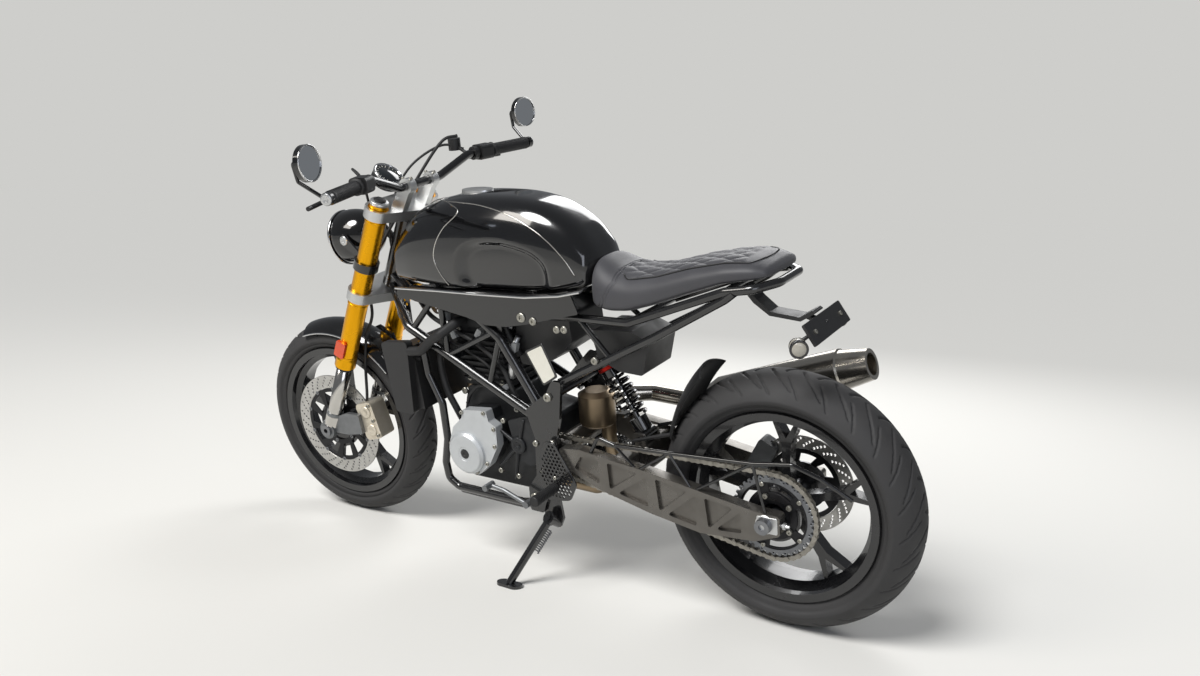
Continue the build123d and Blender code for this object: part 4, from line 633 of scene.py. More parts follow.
def tyre_surface(centre, half, radius, width, crown, pitches, depth, around=720, across=72):
    """A tyre: from bead to bead over the crown, with the tread pressed in."""
    shoulder_r = radius - crown + math.sqrt(crown**2 - (width / 2) ** 2)
    lip = BEAD_R + FLANGE_H + 0.3
    tip = math.asin(width / 2 / crown)
    sweep = np.linspace(-tip, tip, across)
    crown_y = crown * np.sin(sweep)
    crown_r = radius - crown + crown * np.cos(sweep)
    wall = np.array([
        (width / 2 - 0.6, shoulder_r - 3), (width / 2 - 1.6, shoulder_r - 7), (width / 2 - 4, shoulder_r - 12),
        (width / 2 - 8.6, shoulder_r - 20), ((width / 2 + half) / 2 + 1, (shoulder_r + lip) / 2),
        (half + 7, lip + 6), (half + 3.5, lip + 2), (half + 2, lip), (half, lip - 5), (half - 1, BEAD_R + 0.5),
    ])
    wall = wall[wall[:, 1].argsort()[::-1]]
    y = np.concatenate([-wall[::-1, 0], crown_y, wall[:, 0]])
    r = np.concatenate([wall[::-1, 1], crown_r, wall[:, 1]])
    angle = np.linspace(0, 2 * math.pi, around, endpoint=False)
    along = angle[:, None] / (2 * math.pi) * pitches
    cut = np.zeros((around, len(y)))
    pitch = 2 * math.pi * radius / pitches
    cut[:, len(wall):-len(wall)] = tread(crown_y[None], along * pitch, pitch, width, depth)
    rr = r[None] - cut
    points = np.stack([
        centre[0] + rr * np.cos(angle)[:, None],
        np.broadcast_to(y[None], rr.shape),
        centre[2] + rr * np.sin(angle)[:, None],
    ], -1)
    return points


class MOTORCYCLE_OT_tyres(bpy.types.Operator):
    """Moulds both tyres with their treads"""

    bl_idname = "motorcycle.tyres"
    bl_label = "Tyres"

    def execute(self, context):
        depth = context.scene.motorcycle.tread_depth / MILLIMETRE
        for name, centre, half, radius, width, crown, pitches, steers, body in (
            ("front_tyre_tread", FRONT_AXLE, FRONT_RIM_W / 2, FRONT_TYRE_R, FRONT_TYRE_W, FRONT_CROWN_R, 28,
             True, "front_wheel"),
            ("rear_tyre_tread", REAR_AXLE, REAR_RIM_W / 2, REAR_TYRE_R, REAR_TYRE_W, REAR_CROWN_R, 26,
             False, "rear_wheel"),
        ):
            surface = tyre_surface(centre, half, radius, width, crown, pitches, depth)
            rows, columns, _ = surface.shape
            faces = grid_faces(rows, columns, wrap_rows=True, wrap_columns=True)
            piece = add_piece(name, place(surface, steers), faces, MATERIALS["tyre"], body)
            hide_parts(name.replace("_tread", ""))
        return {"FINISHED"}


# Tank stations: forward, half width, waist, bottom, top
TANK = np.array([
    (436, 70, 806, 784, 842), (468, 86, 800, 773, 886), (500, 97, 796, 766, 920), (550, 110, 792, 760, 949),
    (600, 119, 790, 757, 967), (660, 125, 790, 756, 977), (720, 128, 790, 755, 980), (790, 129, 790, 755, 979),
    (850, 128, 792, 755, 972), (905, 124, 795, 755, 959), (960, 118, 798, 755, 938), (1005, 110, 800, 755, 902),
    (1040, 102, 800, 755, 856),
], float)
TANK_SQUARE = 0.56
TANK_CROWN = 0.9
KNEE_AT = (668.0, 812.0)
KNEE_SIZE = (136.0, 74.0)
KNEE_DEPTH = 17.0


def tank_side(forward, up):
    """How far the tank's side is from the middle: the upper half of a superellipse on each
    station, |y / half width|^(2/0.56) + ((z - waist) / rise)^(2/0.9) = 1, less the knee's hollow."""
    half, waist, _, top = (np.interp(forward, TANK[:, 0], TANK[:, k]) for k in (1, 2, 3, 4))
    share = np.clip((up - waist) / (top - waist), 0, 1)
    return half * (1 - share ** (2 / TANK_CROWN)) ** (TANK_SQUARE / 2) - knee(forward, up)


def knee(forward, up):
    """The depth of the hollow for the rider's knee: full inside a leaning superellipse, fading at its rim."""
    u = (forward - KNEE_AT[0]) / KNEE_SIZE[0]
    v = (up - KNEE_AT[1] + 0.16 * (KNEE_AT[0] - forward) * (forward < KNEE_AT[0])) / KNEE_SIZE[1]
    reach = (np.abs(u) ** 3.2 + np.abs(v) ** 2.6) ** (1 / 2.9)
    return KNEE_DEPTH * (1 - smoothstep(0.72, 1.02, reach))


def tank_surface(rows=220, columns=260):
    """The tank: superellipse crowns over a nearly flat base, closed by quarter rounds at both ends."""
    u = np.linspace(0, 1, rows)
    line = smooth_path(TANK, 400)
    forward = TANK[0, 0] + (TANK[-1, 0] - TANK[0, 0]) * (0.5 - 0.5 * np.cos(math.pi * u))
    half, waist, low, high = (np.interp(forward, line[:, 0], line[:, k]) for k in (1, 2, 3, 4))
    rear = np.clip((forward - TANK[0, 0]) / 26, 0, 1)
    nose = np.clip((TANK[-1, 0] - forward) / 20, 0, 1)
    end = np.sqrt(np.clip(1 - (1 - rear) ** 2, 0, 1)) * np.sqrt(np.clip(1 - (1 - nose) ** 2, 0, 1))
    angle = np.linspace(0, 2 * math.pi, columns, endpoint=False)
    c, s = np.cos(angle), np.sin(angle)
    wide = np.sign(c) * np.abs(c) ** np.where(s > 0, TANK_SQUARE, 0.34)
    middle = (low + high) / 2
    top_edge = middle + (high - middle) * (0.3 + 0.7 * end)
    base = middle - (middle - low) * (0.3 + 0.7 * end)
    seat_line = np.clip(waist, base + 2, top_edge - 2)
    up = np.where(s[None] > 0, seat_line[:, None] + (top_edge - seat_line)[:, None] * np.abs(s[None]) ** TANK_CROWN,
                  seat_line[:, None] - (seat_line - base)[:, None] * np.abs(s[None]) ** 0.5)
    left = half[:, None] * end[:, None] * wide[None]
    hollow = knee(forward[:, None], up) * smoothstep(0.35, 0.8, np.abs(left) / half[:, None]) * end[:, None]
    left = left - np.sign(left) * hollow
    return np.stack([np.broadcast_to(forward[:, None], left.shape), left, up], -1)


def cut_away(piece, cutters):
    """Cuts closed shapes out of a piece and keeps the result as its mesh."""
    for points, faces in cutters:
        mesh = bpy.data.meshes.new("cutter")
        mesh.from_pydata(np.asarray(points).tolist(), [], [list(map(int, f)) for f in faces])
        cutter = bpy.data.objects.new("cutter", mesh)
        bpy.context.scene.collection.objects.link(cutter)
        modifier = piece.modifiers.new("cut", "BOOLEAN")
        modifier.operation = "DIFFERENCE"
        modifier.solver = "EXACT"
        modifier.object = cutter
        made = bpy.data.meshes.new_from_object(piece.evaluated_get(bpy.context.evaluated_depsgraph_get()))
        piece.modifiers.clear()
        old = piece.data
        piece.data = made
        bpy.data.meshes.remove(old)
        bpy.data.objects.remove(cutter)
        bpy.data.meshes.remove(mesh)


def block(low, high):
    """The corners and faces of a box that cuts."""
    x, y, z = (np.array([low[k], high[k]]) for k in range(3))
    points = np.stack(np.meshgrid(x, y, z, indexing="ij"), -1).reshape(-1, 3)
    faces = [[0, 1, 3, 2], [4, 6, 7, 5], [0, 4, 5, 1], [2, 3, 7, 6], [0, 2, 6, 4], [1, 5, 7, 3]]
    return outwards(points, faces)


FORK_SPAN = 190.0
FORK_TUBE_D = 54.0
LOWER_CLAMP = 446.0
UPPER_CLAMP = 694.0
CLAMP_T = 28.0
CLAMP_BOSS_D = 68.0
FORK_BOTTOM = 226.0
FORK_TOP = 728.0
TURN_GAP = 7.0


def tank_cutters():
    """The notch for the steering head, the fork's paths when it is turned, and the cap's pocket."""
    cutters = [block((972, -72, 700), (1140, 72, 1100))]
    for share in (1.0, 0.81, 0.62, 0.43, 0.25):
        turn = turn_matrix(UP_FORK, STEER_LOCK * share)
        for low_up, radius in ((LOWER_CLAMP, FORK_TUBE_D / 2 + TURN_GAP),
                               (UPPER_CLAMP - TURN_GAP, CLAMP_BOSS_D / 2 + TURN_GAP)):
            low, high = (
                (fork_point(FORK_OFFSET, FORK_SPAN / 2, up) - STEER_ORIGIN) @ turn.T + STEER_ORIGIN
                for up in (low_up, FORK_TOP + 30)
            )
            for hand in (1, -1):
                low_at, high_at = low * (1, hand, 1), high * (1, hand, 1)
                length = np.linalg.norm(high_at - low_at)
                cutters.append(turned(((0, radius), (length, radius)), low_at, high_at - low_at, 40))
    points, faces = turned(((0, 1.0), (60, 1.0)), (812, 0, 968), (0, 0, 1), 48)
    points = (points - (812, 0, 0)) * (47, 35, 1) + (812, 0, 0)
    cutters.append((points, faces))
    return [(place(points), faces) for points, faces in cutters]


# The silver line along the tank's shoulder and the one round the front of the knee's hollow
STRIPES = (
    ((1012, 896), (985, 930), (942, 952), (848, 962), (736, 959), (640, 938), (560, 899), (505, 850), (476, 806)),
    ((850, 962), (800, 944), (838, 905), (862, 866), (868, 830), (850, 795), (826, 768)),
)


class MOTORCYCLE_OT_tank(bpy.types.Operator):
    """Shapes the tank with its knee hollows and draws its silver lines"""

    bl_idname = "motorcycle.tank"
    bl_label = "Tank"

    def execute(self, context):
        surface = tank_surface()
        rows, columns, _ = surface.shape
        points, faces = capped(surface, grid_faces(rows, columns, wrap_columns=True), rows, columns)
        points, faces = outwards(points, faces)
        piece = add_piece("tank_shell", place(points), faces, MATERIALS["tank"], "chassis")
        cut_away(piece, tank_cutters())
        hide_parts("tank")
        lines = []
        for stripe in STRIPES:
            path = smooth_path(np.array(stripe, float), 90)
            for hand in (1, -1):
                left = tank_side(path[:, 0], path[:, 1]) + 0.2
                lines.append(swept(np.stack([path[:, 0], hand * left, path[:, 1]], -1), 1.5, 8))
        points, faces = joined(lines)
        add_piece("tank_lines", place(points), faces, MATERIALS["polished"], "chassis")
        return {"FINISHED"}


# The chain's line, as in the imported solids
CHAIN_PITCH = 15.875
CHAIN_Y = 92.0
REAR_TEETH = 40
FRONT_TEETH = 16
FRONT_SPROCKET = np.array([645.0, 0.0, 360.0])
REAR_PITCH_R = CHAIN_PITCH / (2 * math.sin(math.pi / REAR_TEETH))
FRONT_PITCH_R = CHAIN_PITCH / (2 * math.sin(math.pi / FRONT_TEETH))


def chain_line(distance):
    """Points on the chain's line: two straight runs tangent to two arcs of the pitch radii."""
    run = FRONT_SPROCKET - REAR_AXLE
    length = np.linalg.norm(run)
    tilt = math.atan2(run[2], run[0])
    wrap = math.acos((REAR_PITCH_R - FRONT_PITCH_R) / length)
    straight = math.sqrt(length**2 - (REAR_PITCH_R - FRONT_PITCH_R) ** 2)
    front_arc = 2 * wrap * FRONT_PITCH_R
    total = 2 * straight + front_arc + (2 * math.pi - 2 * wrap) * REAR_PITCH_R
    distance = np.asarray(distance) * total

    def around(centre, radius, angle):
        return np.stack([centre[0] + radius * np.cos(angle), centre[2] + radius * np.sin(angle)], -1)

    top, bottom = tilt + wrap, tilt - wrap
    one = np.ones_like(distance)
    upper = around(REAR_AXLE, REAR_PITCH_R, top * one) + distance[:, None] * (
        math.cos(top - math.pi / 2), math.sin(top - math.pi / 2))
    front = around(FRONT_SPROCKET, FRONT_PITCH_R, top - (distance - straight) / FRONT_PITCH_R)
    past = distance - straight - front_arc
    lower = around(FRONT_SPROCKET, FRONT_PITCH_R, bottom * one) + past[:, None] * (
        math.cos(bottom - math.pi / 2), math.sin(bottom - math.pi / 2))
    rear = around(REAR_AXLE, REAR_PITCH_R, bottom - (past - straight) / REAR_PITCH_R)
    picks = [distance < straight, distance < straight + front_arc, past < straight]
    return np.select([k[:, None] for k in picks], [upper, front, lower], rear), total


def link_outline():
    """Half of a link's figure of eight mirrored: two round ends and a waist."""
    right = circle(CHAIN_PITCH / 2, 0, 5.7, 16)
    right = right[right[:, 0] > CHAIN_PITCH / 2 - 2.4]
    right = right[np.argsort(np.arctan2(right[:, 1], right[:, 0] - CHAIN_PITCH / 2))]
    left = -right
    return np.concatenate([right, [(0, 4.2)], left, [(0, -4.2)]])


def prism(outline, low, high):
    """A flat outline given a thickness between two levels."""
    count = len(outline)
    points = np.concatenate([np.column_stack([outline, np.full(count, level)]) for level in (low, high)])
    side = np.arange(count)
    faces = np.stack([side, (side + 1) % count, (side + 1) % count + count, side + count], -1).tolist()
    faces.append(list(range(count))[::-1])
    faces.append(list(range(count, 2 * count)))
    return points, faces


def chain_links():
    """Each link's plates and one roller carried to its place between two pins."""
    _, total = chain_line(np.zeros(1))
    links = 2 * round(total / CHAIN_PITCH / 2)
    pins, _ = chain_line(np.arange(links + 1) / links % 1.0)
    middles = (pins[1:] + pins[:-1]) / 2
    ahead = pins[1:] - pins[:-1]
    ahead /= np.linalg.norm(ahead, axis=1)[:, None]
    outline = link_outline()
    roller = circle(-CHAIN_PITCH / 2, 0, 4.1, 8)
    head = circle(-CHAIN_PITCH / 2, 0, 2.4, 8)
    parts = []
    for odd in (0, 1):
        inner, outer = ((3.3, 4.7), (4.9, 6.3))[odd]
        kinds = [prism(outline, inner, outer), prism(outline, -outer, -inner), prism(roller, -3.2, 3.2)]
        kinds += [prism(head, -6.4, -3.3), prism(head, 3.3, 6.4)]
        base, faces = joined(kinds)
        chosen = slice(odd, None, 2)
        across = np.stack([-ahead[chosen][:, 1], ahead[chosen][:, 0]], -1)
        flat = (middles[chosen][:, None] + base[None, :, :1] * ahead[chosen][:, None]
                + base[None, :, 1:2] * across[:, None])
        points = np.stack([flat[..., 0], CHAIN_Y + np.broadcast_to(base[None, :, 2], flat.shape[:2]),
                           flat[..., 1]], -1)
        count = len(base)
        faces = [[i + k * count for i in face[::-1]] for k in range(len(points)) for face in faces]
        parts.append((points.reshape(-1, 3), faces))
    return joined(parts)


def sprocket_outline():
    """The rear sprocket's teeth: the radius swings between root and tip once a tooth, flattened at both."""
    angle = np.linspace(0, 2 * math.pi, REAR_TEETH * 12, endpoint=False)
    swing = np.clip(1.6 * np.cos(angle * REAR_TEETH), -1, 1)
    radius = REAR_PITCH_R - 8.4 + 3.4 * swing
    return np.stack([radius * np.cos(angle), radius * np.sin(angle)], -1)


def window(inner, outer, start, end, lean=0.0, count=10):
    """A window between two radii and two angles in degrees, its outer end turned on by a lean."""
    low = np.radians(np.linspace(start, end, count))
    high = np.radians(np.linspace(end + lean, start + lean, count))
    return np.concatenate([
        np.stack([inner * np.cos(low), inner * np.sin(low)], -1),
        np.stack([outer * np.cos(high), outer * np.sin(high)], -1),
    ])


class MOTORCYCLE_OT_drive(bpy.types.Operator):
    """Makes the chain's links and the rear sprocket"""

    bl_idname = "motorcycle.drive"
    bl_label = "Chain and sprocket"

    def execute(self, context):
        points, faces = chain_links()
        points, faces = outwards(points, faces)
        piece = add_piece("chain_links", place(points), faces, MATERIALS["chain"], "chassis", False)
        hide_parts("chain")
        loops = [sprocket_outline(), circle(0, 0, 80, 72)]
        loops += [circle(88 * math.cos(a), 88 * math.sin(a), 2.2, 10) for a in np.radians(np.arange(0, 360, 18.0))]
        points, faces = stood(flat_plate(loops, 5.0), REAR_AXLE + (0, CHAIN_Y, 0))
        piece = add_piece("sprocket_teeth", place(points), faces, MATERIALS["sprocket"], "rear_wheel", False)
        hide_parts("rear_sprocket")
        loops = [circle(0, 0, 83, 72), circle(0, 0, 41, 48)]
        loops += [window(56, 75, 72 * k + 10, 72 * k + 62) for k in range(5)]
        points, faces = stood(flat_plate(loops, 4.0), REAR_AXLE + (0, CHAIN_Y - 1.2, 0))
        add_piece("sprocket_carrier", place(points), faces, MATERIALS["carrier"], "rear_wheel", False)
        nuts = [bolt(REAR_AXLE + (49 * math.cos(a), CHAIN_Y + 2, 49 * math.sin(a)), (0, 1, 0), 6.5, 7, 12)
                for a in np.radians(72 * np.arange(5))]
        nuts += [bolt(REAR_AXLE + (77 * math.cos(a), CHAIN_Y + 1, 77 * math.sin(a)), (0, 1, 0), 5.5, 4.5, 12)
                 for a in np.radians(72 * np.arange(5))]
        points, faces = joined(nuts)
        add_piece("sprocket_nuts", place(points), faces, MATERIALS["bolt"], "rear_wheel", False)
        return {"FINISHED"}


FRONT_DISC_Y = 66.0
REAR_DISC_Y = -86.0


def drilled(outer, inner, rows, holes, radius):
    """The loops of a disc's track: its two edges and rows of holes, each row turned on from the last."""
    loops = [circle(0, 0, outer, 120), circle(0, 0, inner, 96)]
    for row, at in enumerate(rows):
        for k in range(holes):
            a = 2 * math.pi * (k + row / len(rows)) / holes
            loops.append(circle(at * math.cos(a), at * math.sin(a), radius, 10))
    return loops


class MOTORCYCLE_OT_brakes(bpy.types.Operator):
    """Makes the drilled brake discs, their carriers and the pins and screws that hold them"""

    bl_idname = "motorcycle.brakes"
    bl_label = "Brakes"

    def execute(self, context):
        for name, centre, y, outer, track, bore, arms, steers, body in (
            ("front_disc", FRONT_AXLE, FRONT_DISC_Y, 150, 112, 48, 10, True, "front_wheel"),
            ("rear_disc", REAR_AXLE, REAR_DISC_Y, 120, 88, 38, 8, False, "rear_wheel"),
        ):
            rows = np.linspace(track + 8, outer - 7, 4)
            loops = drilled(outer, track, rows, 3 * arms, 3.1)
            points, faces = stood(flat_plate(loops, 4.6), centre + (0, y, 0))
            piece = add_piece(f"{name}_track", place(points, steers), faces, MATERIALS["disc"], body, False)
            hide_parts(name)
            step = 360 / arms
            loops = [circle(0, 0, track - 1, 96), circle(0, 0, bore, 60)]
            loops += [window(bore + 14, track - 12, k * step - 0.32 * step, k * step + 0.32 * step, 9)
                      for k in range(arms)]
            points, faces = stood(flat_plate(loops, 4.0), centre + (0, y, 0))
            add_piece(f"{name}_carrier", place(points, steers), faces, MATERIALS["carrier"], body, False)
            hand = 1 if y > 0 else -1
            pins = [bolt(centre + ((track - 2) * math.cos(a), y, (track - 2) * math.sin(a)), (0, hand, 0), 6, 3.1, 12)
                    for a in np.radians((np.arange(arms) + 0.5) * step)]
            pins += [bolt(centre + ((bore + 7) * math.cos(a), y, (bore + 7) * math.sin(a)), (0, hand, 0), 5.5, 3.2, 12)
                     for a in np.radians(np.arange(5) * 72.0)]
            points, faces = joined(pins)
            add_piece(f"{name}_pins", place(points, steers), faces, MATERIALS["steel"], body, False)
        return {"FINISHED"}


# Screws seen on the machine: forward, left, up, radius, height
FRAME_SCREWS = (
    (612, 126, 706, 12, 8), (578, 126, 700, 10, 8), (519, 118, 683, 9, 6), (498, 118, 685, 9, 6),
    (862, 102, 571, 9, 8), (555, 128, 514, 11, 8), (604, 128, 387, 8, 6), (554, 128, 395, 8, 6),
    (590, 128, 314, 8, 6), (622, 128, 240, 11, 7), (419, 118, 619, 9, 7),
)
# Screws in the engine's left side: forward, left, up, radius
ENGINE_SCREWS = (
    (863, 72, 469, 9), (700, 70, 440, 7), (640, 70, 470, 7), (620, 70, 420, 7), (752, 75, 668, 7), (880, 75, 684, 7),
    (812, 75, 690, 7), (742, 64, 504, 7), (846, 64, 504, 7), (766, 64, 634, 6), (866, 64, 634, 6),
    (735, 112, 285, 7), (679, 112, 279, 7), (712, 112, 424, 7),
)
COVER_SCREWS = (
    (829, 137, 436), (757, 137, 444), (729, 137, 405), (731, 137, 358), (761, 137, 306), (797, 137, 276),
    (870, 134, 300), (876, 134, 344),
)


class MOTORCYCLE_OT_screws(bpy.types.Operator):
    """Sets the frame's and the engine's screws"""

    bl_idname = "motorcycle.screws"
    bl_label = "Screws"

    def execute(self, context):
        parts = []
        for x, y, z, radius, height in FRAME_SCREWS:
            for hand in (1, -1):
                parts.append(bolt((x, hand * (y - 1), z), (0, hand, 0), radius, height, 16))
        points, faces = joined(parts)
        add_piece("frame_screws", place(points), faces, MATERIALS["bolt"], "chassis", False)
        parts = [bolt((x, 133.5, z), (0, 1, 0), 5.5, 5, 12) for x, _, z in COVER_SCREWS]
        parts += [bolt((x, y - 0.5, z), (0, 1, 0), radius, 6, 12) for x, y, z, radius in ENGINE_SCREWS]
        for centre, y, reach, count in (((735, 350), 119.5, 78, 9), ((655, 372), 107.5, 32, 4)):
            for a in np.arange(count) * 2 * math.pi / count + 0.4:
                at = (centre[0] + reach * math.cos(a), -y, centre[1] + reach * math.sin(a))
                parts.append(bolt(at, (0, -1, 0), 5.5, 5, 12))
        points, faces = joined(parts)
        add_piece("cover_screws", place(points), faces, MATERIALS["bolt"], "chassis", False)
        return {"FINISHED"}


BOSS = np.array([824.0, 0.0, 326.0])


class MOTORCYCLE_OT_engine(bpy.types.Operator):
    """Adds the cover's ring and plug, the cylinder's fins, the throats, pipes and cables"""

    bl_idname = "motorcycle.engine"
    bl_label = "Engine details"

    def execute(self, context):
        ring = turned(((145, 49), (146.6, 49), (147.2, 46), (147.2, 20), (145, 17)), BOSS * (1, 0, 1), (0, 1, 0), 64)
        add_piece("cover_ring", place(ring[0]), ring[1], MATERIALS["cover"], "chassis", False)
        rings = [turned(((119, 66), (122, 66), (123, 64), (123, 30), (121.5, 28), (121.5, 24), (124, 22), (125, 20)),
                        (735, 0, 350), (0, -1, 0), 72),
                 turned(((107, 24), (110, 24), (111, 22)), (655, 0, 372), (0, -1, 0), 40)]
        points, faces = joined(rings)
        add_piece("clutch_cover_rings", place(points), faces, MATERIALS["engine"], "chassis", False)
        plug = turned(((142, 12), (146.4, 12), (147, 10), (147, 5), (145.6, 4), (145.6, 0.1)), BOSS * (1, 0, 1),
                      (0, 1, 0), 32)
        add_piece("cover_plug", place(plug[0]), plug[1], MATERIALS["plastic"], "chassis", False)
        fins = []
        lean = np.array([24.0, 154.0]) / 156
        for level in np.arange(506, 636, 15.0):
            share = (level - 486) / 154
            rear, front = 722 + 24 * share, 862 + 24 * share
            outline = rounded_rectangle(front - rear + 14, 146, 16)
            part = prism(outline, -1.6, 1.6)
            fins.append(stood(part, ((rear + front) / 2, 0, level), (1, 0, 0), (0, 1, 0)))
        points, faces = joined([outwards(*fin) for fin in fins])
        add_piece("cylinder_fins", place(points), faces, MATERIALS["engine"], "chassis", False)
        parts = [outwards(*stood(prism(rounded_rectangle(150, 118, 22), -8, 8), (820, 0, 722), (1, 0, -0.04), (0, 1, 0)))]
        parts.append(turned(((0, 15), (34, 15), (40, 11), (56, 11), (60, 6)), (862, 62, 690), (0.2, 0.9, 0.3), 20))
        points, faces = joined(parts)
        add_piece("head_cover", place(points), faces, MATERIALS["engine"], "chassis", False)
        add_routes(ENGINE_ROUTES)
        metal = [turned(((0, 7), (26, 7), (28, 10), (40, 10), (42, 5)), (663, 84, 640), (0.5, 0.1, -0.86), 20),
                 turned(((0, 9), (44, 9), (46, 6)), (691, 82, 574), (0.1, 0, -1), 20),
                 turned(((0, 17), (4, 19), (22, 19), (26, 14)), (716, 64, 622), (0, 1, 0), 28)]
        metal.append(swept(smooth_path(((690, 70, 656), (720, 82, 664), (770, 84, 676), (830, 84, 684)), 30), 4.5, 10))
        points, faces = joined(metal)
        add_piece("fuel_rail", place(points), faces, MATERIALS["machined"], "chassis")
        boxes = []
        for x, y, z, lean in ((669, 92, 615, 0.3), (857, 96, 631, -0.4), (776, 94, 640, 0.6), (876, 96, 676, 0.1),
                              (716, 92, 500, 0.9)):
            part = prism(rounded_rectangle(15, 24, 3, 3), -7, 7)
            first = (math.cos(lean), 0, math.sin(lean))
            boxes.append(outwards(*stood(part, (x, y, z), first, (-math.sin(lean), 0, math.cos(lean)))))
        points, faces = joined(boxes)
        add_piece("connectors", place(points), faces, MATERIALS["connector"], "chassis", False)
        return {"FINISHED"}


def rounded_rectangle(width, height, radius, count=6):
    """The outline of a rectangle with round corners."""
    corner = np.linspace(0, math.pi / 2, count)
    parts = []
    for k, (sx, sy) in enumerate(((1, 1), (-1, 1), (-1, -1), (1, -1))):
        angle = corner + k * math.pi / 2
        parts.append(np.stack([sx * (width / 2 - radius) + radius * np.cos(angle),
                               sy * (height / 2 - radius) + radius * np.sin(angle)], -1))
    return np.concatenate(parts)


# Pipes and cables that lie against the engine: name, finish, slot, radius, points
ENGINE_ROUTES = (
    ("loom", "rubber", "rubber", 6.0, ((1000, 60, 700), (930, 92, 668), (860, 94, 640), (790, 92, 610),
                                       (720, 92, 560), (690, 92, 500), (676, 84, 452))),
    ("starter_lead", "rubber", "rubber", 4.5, ((700, 60, 470), (735, 92, 492), (790, 94, 500), (830, 90, 470),
                                              (850, 84, 440))),
    ("water_pipe", "rubber", "rubber", 9.0, ((905, 60, 640), (925, 84, 560), (912, 90, 480), (890, 84, 420),
                                            (884, 70, 380))),
    ("breather", "rubber", "rubber", 7.0, ((760, 66, 700), (712, 84, 690), (690, 86, 640), (664, 80, 590))),
    ("coil_lead", "rubber", "rubber", 4.0, ((880, 74, 700), (900, 90, 660), (880, 94, 610), (830, 92, 590),
                                            (770, 90, 560), (740, 80, 520))),
)


def add_routes(routes):
    """Round pipes and cables, each along a smooth line through its points."""
    for name, finish, slot, radius, route in routes:
        points, faces = swept(smooth_path(np.array(route, float), 14 * len(route)), radius, 14)
        add_piece(name, place(points), faces, MATERIALS[finish], "chassis")


# Fork, lamp and handlebar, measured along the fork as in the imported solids
LEG_Y = FORK_SPAN / 2
BAR_KNEE = fork_point(-6.3, 190, 836.1)
BAR_END = fork_point(-56.1, 392, 859.4)
BAR_CENTRE = fork_point(-7.0, 0, 792.2)
GRIP_START = 268.0
GRIP_END = 388.0
LAMP_FRONT = fork_point(177.7, 0, 533.4)
LAMP_AXIS = np.array([math.cos(math.radians(10)), 0.0, -math.sin(math.radians(10))])
LAMP_R = 74.0
DIAL_AT = fork_point(97, 0, UPPER_CLAMP + 60)
DIAL_NORMAL = np.array([-0.62, 0.0, 0.78]) / math.hypot(0.62, 0.78)
DIAL_R = 39.0


def add_steered(name, parts, finish, smooth=True):
    """Joins parts into one piece that turns with the steering."""
    points, faces = joined(parts)
    return add_piece(name, place(points, True), faces, MATERIALS[finish], "steering", smooth)


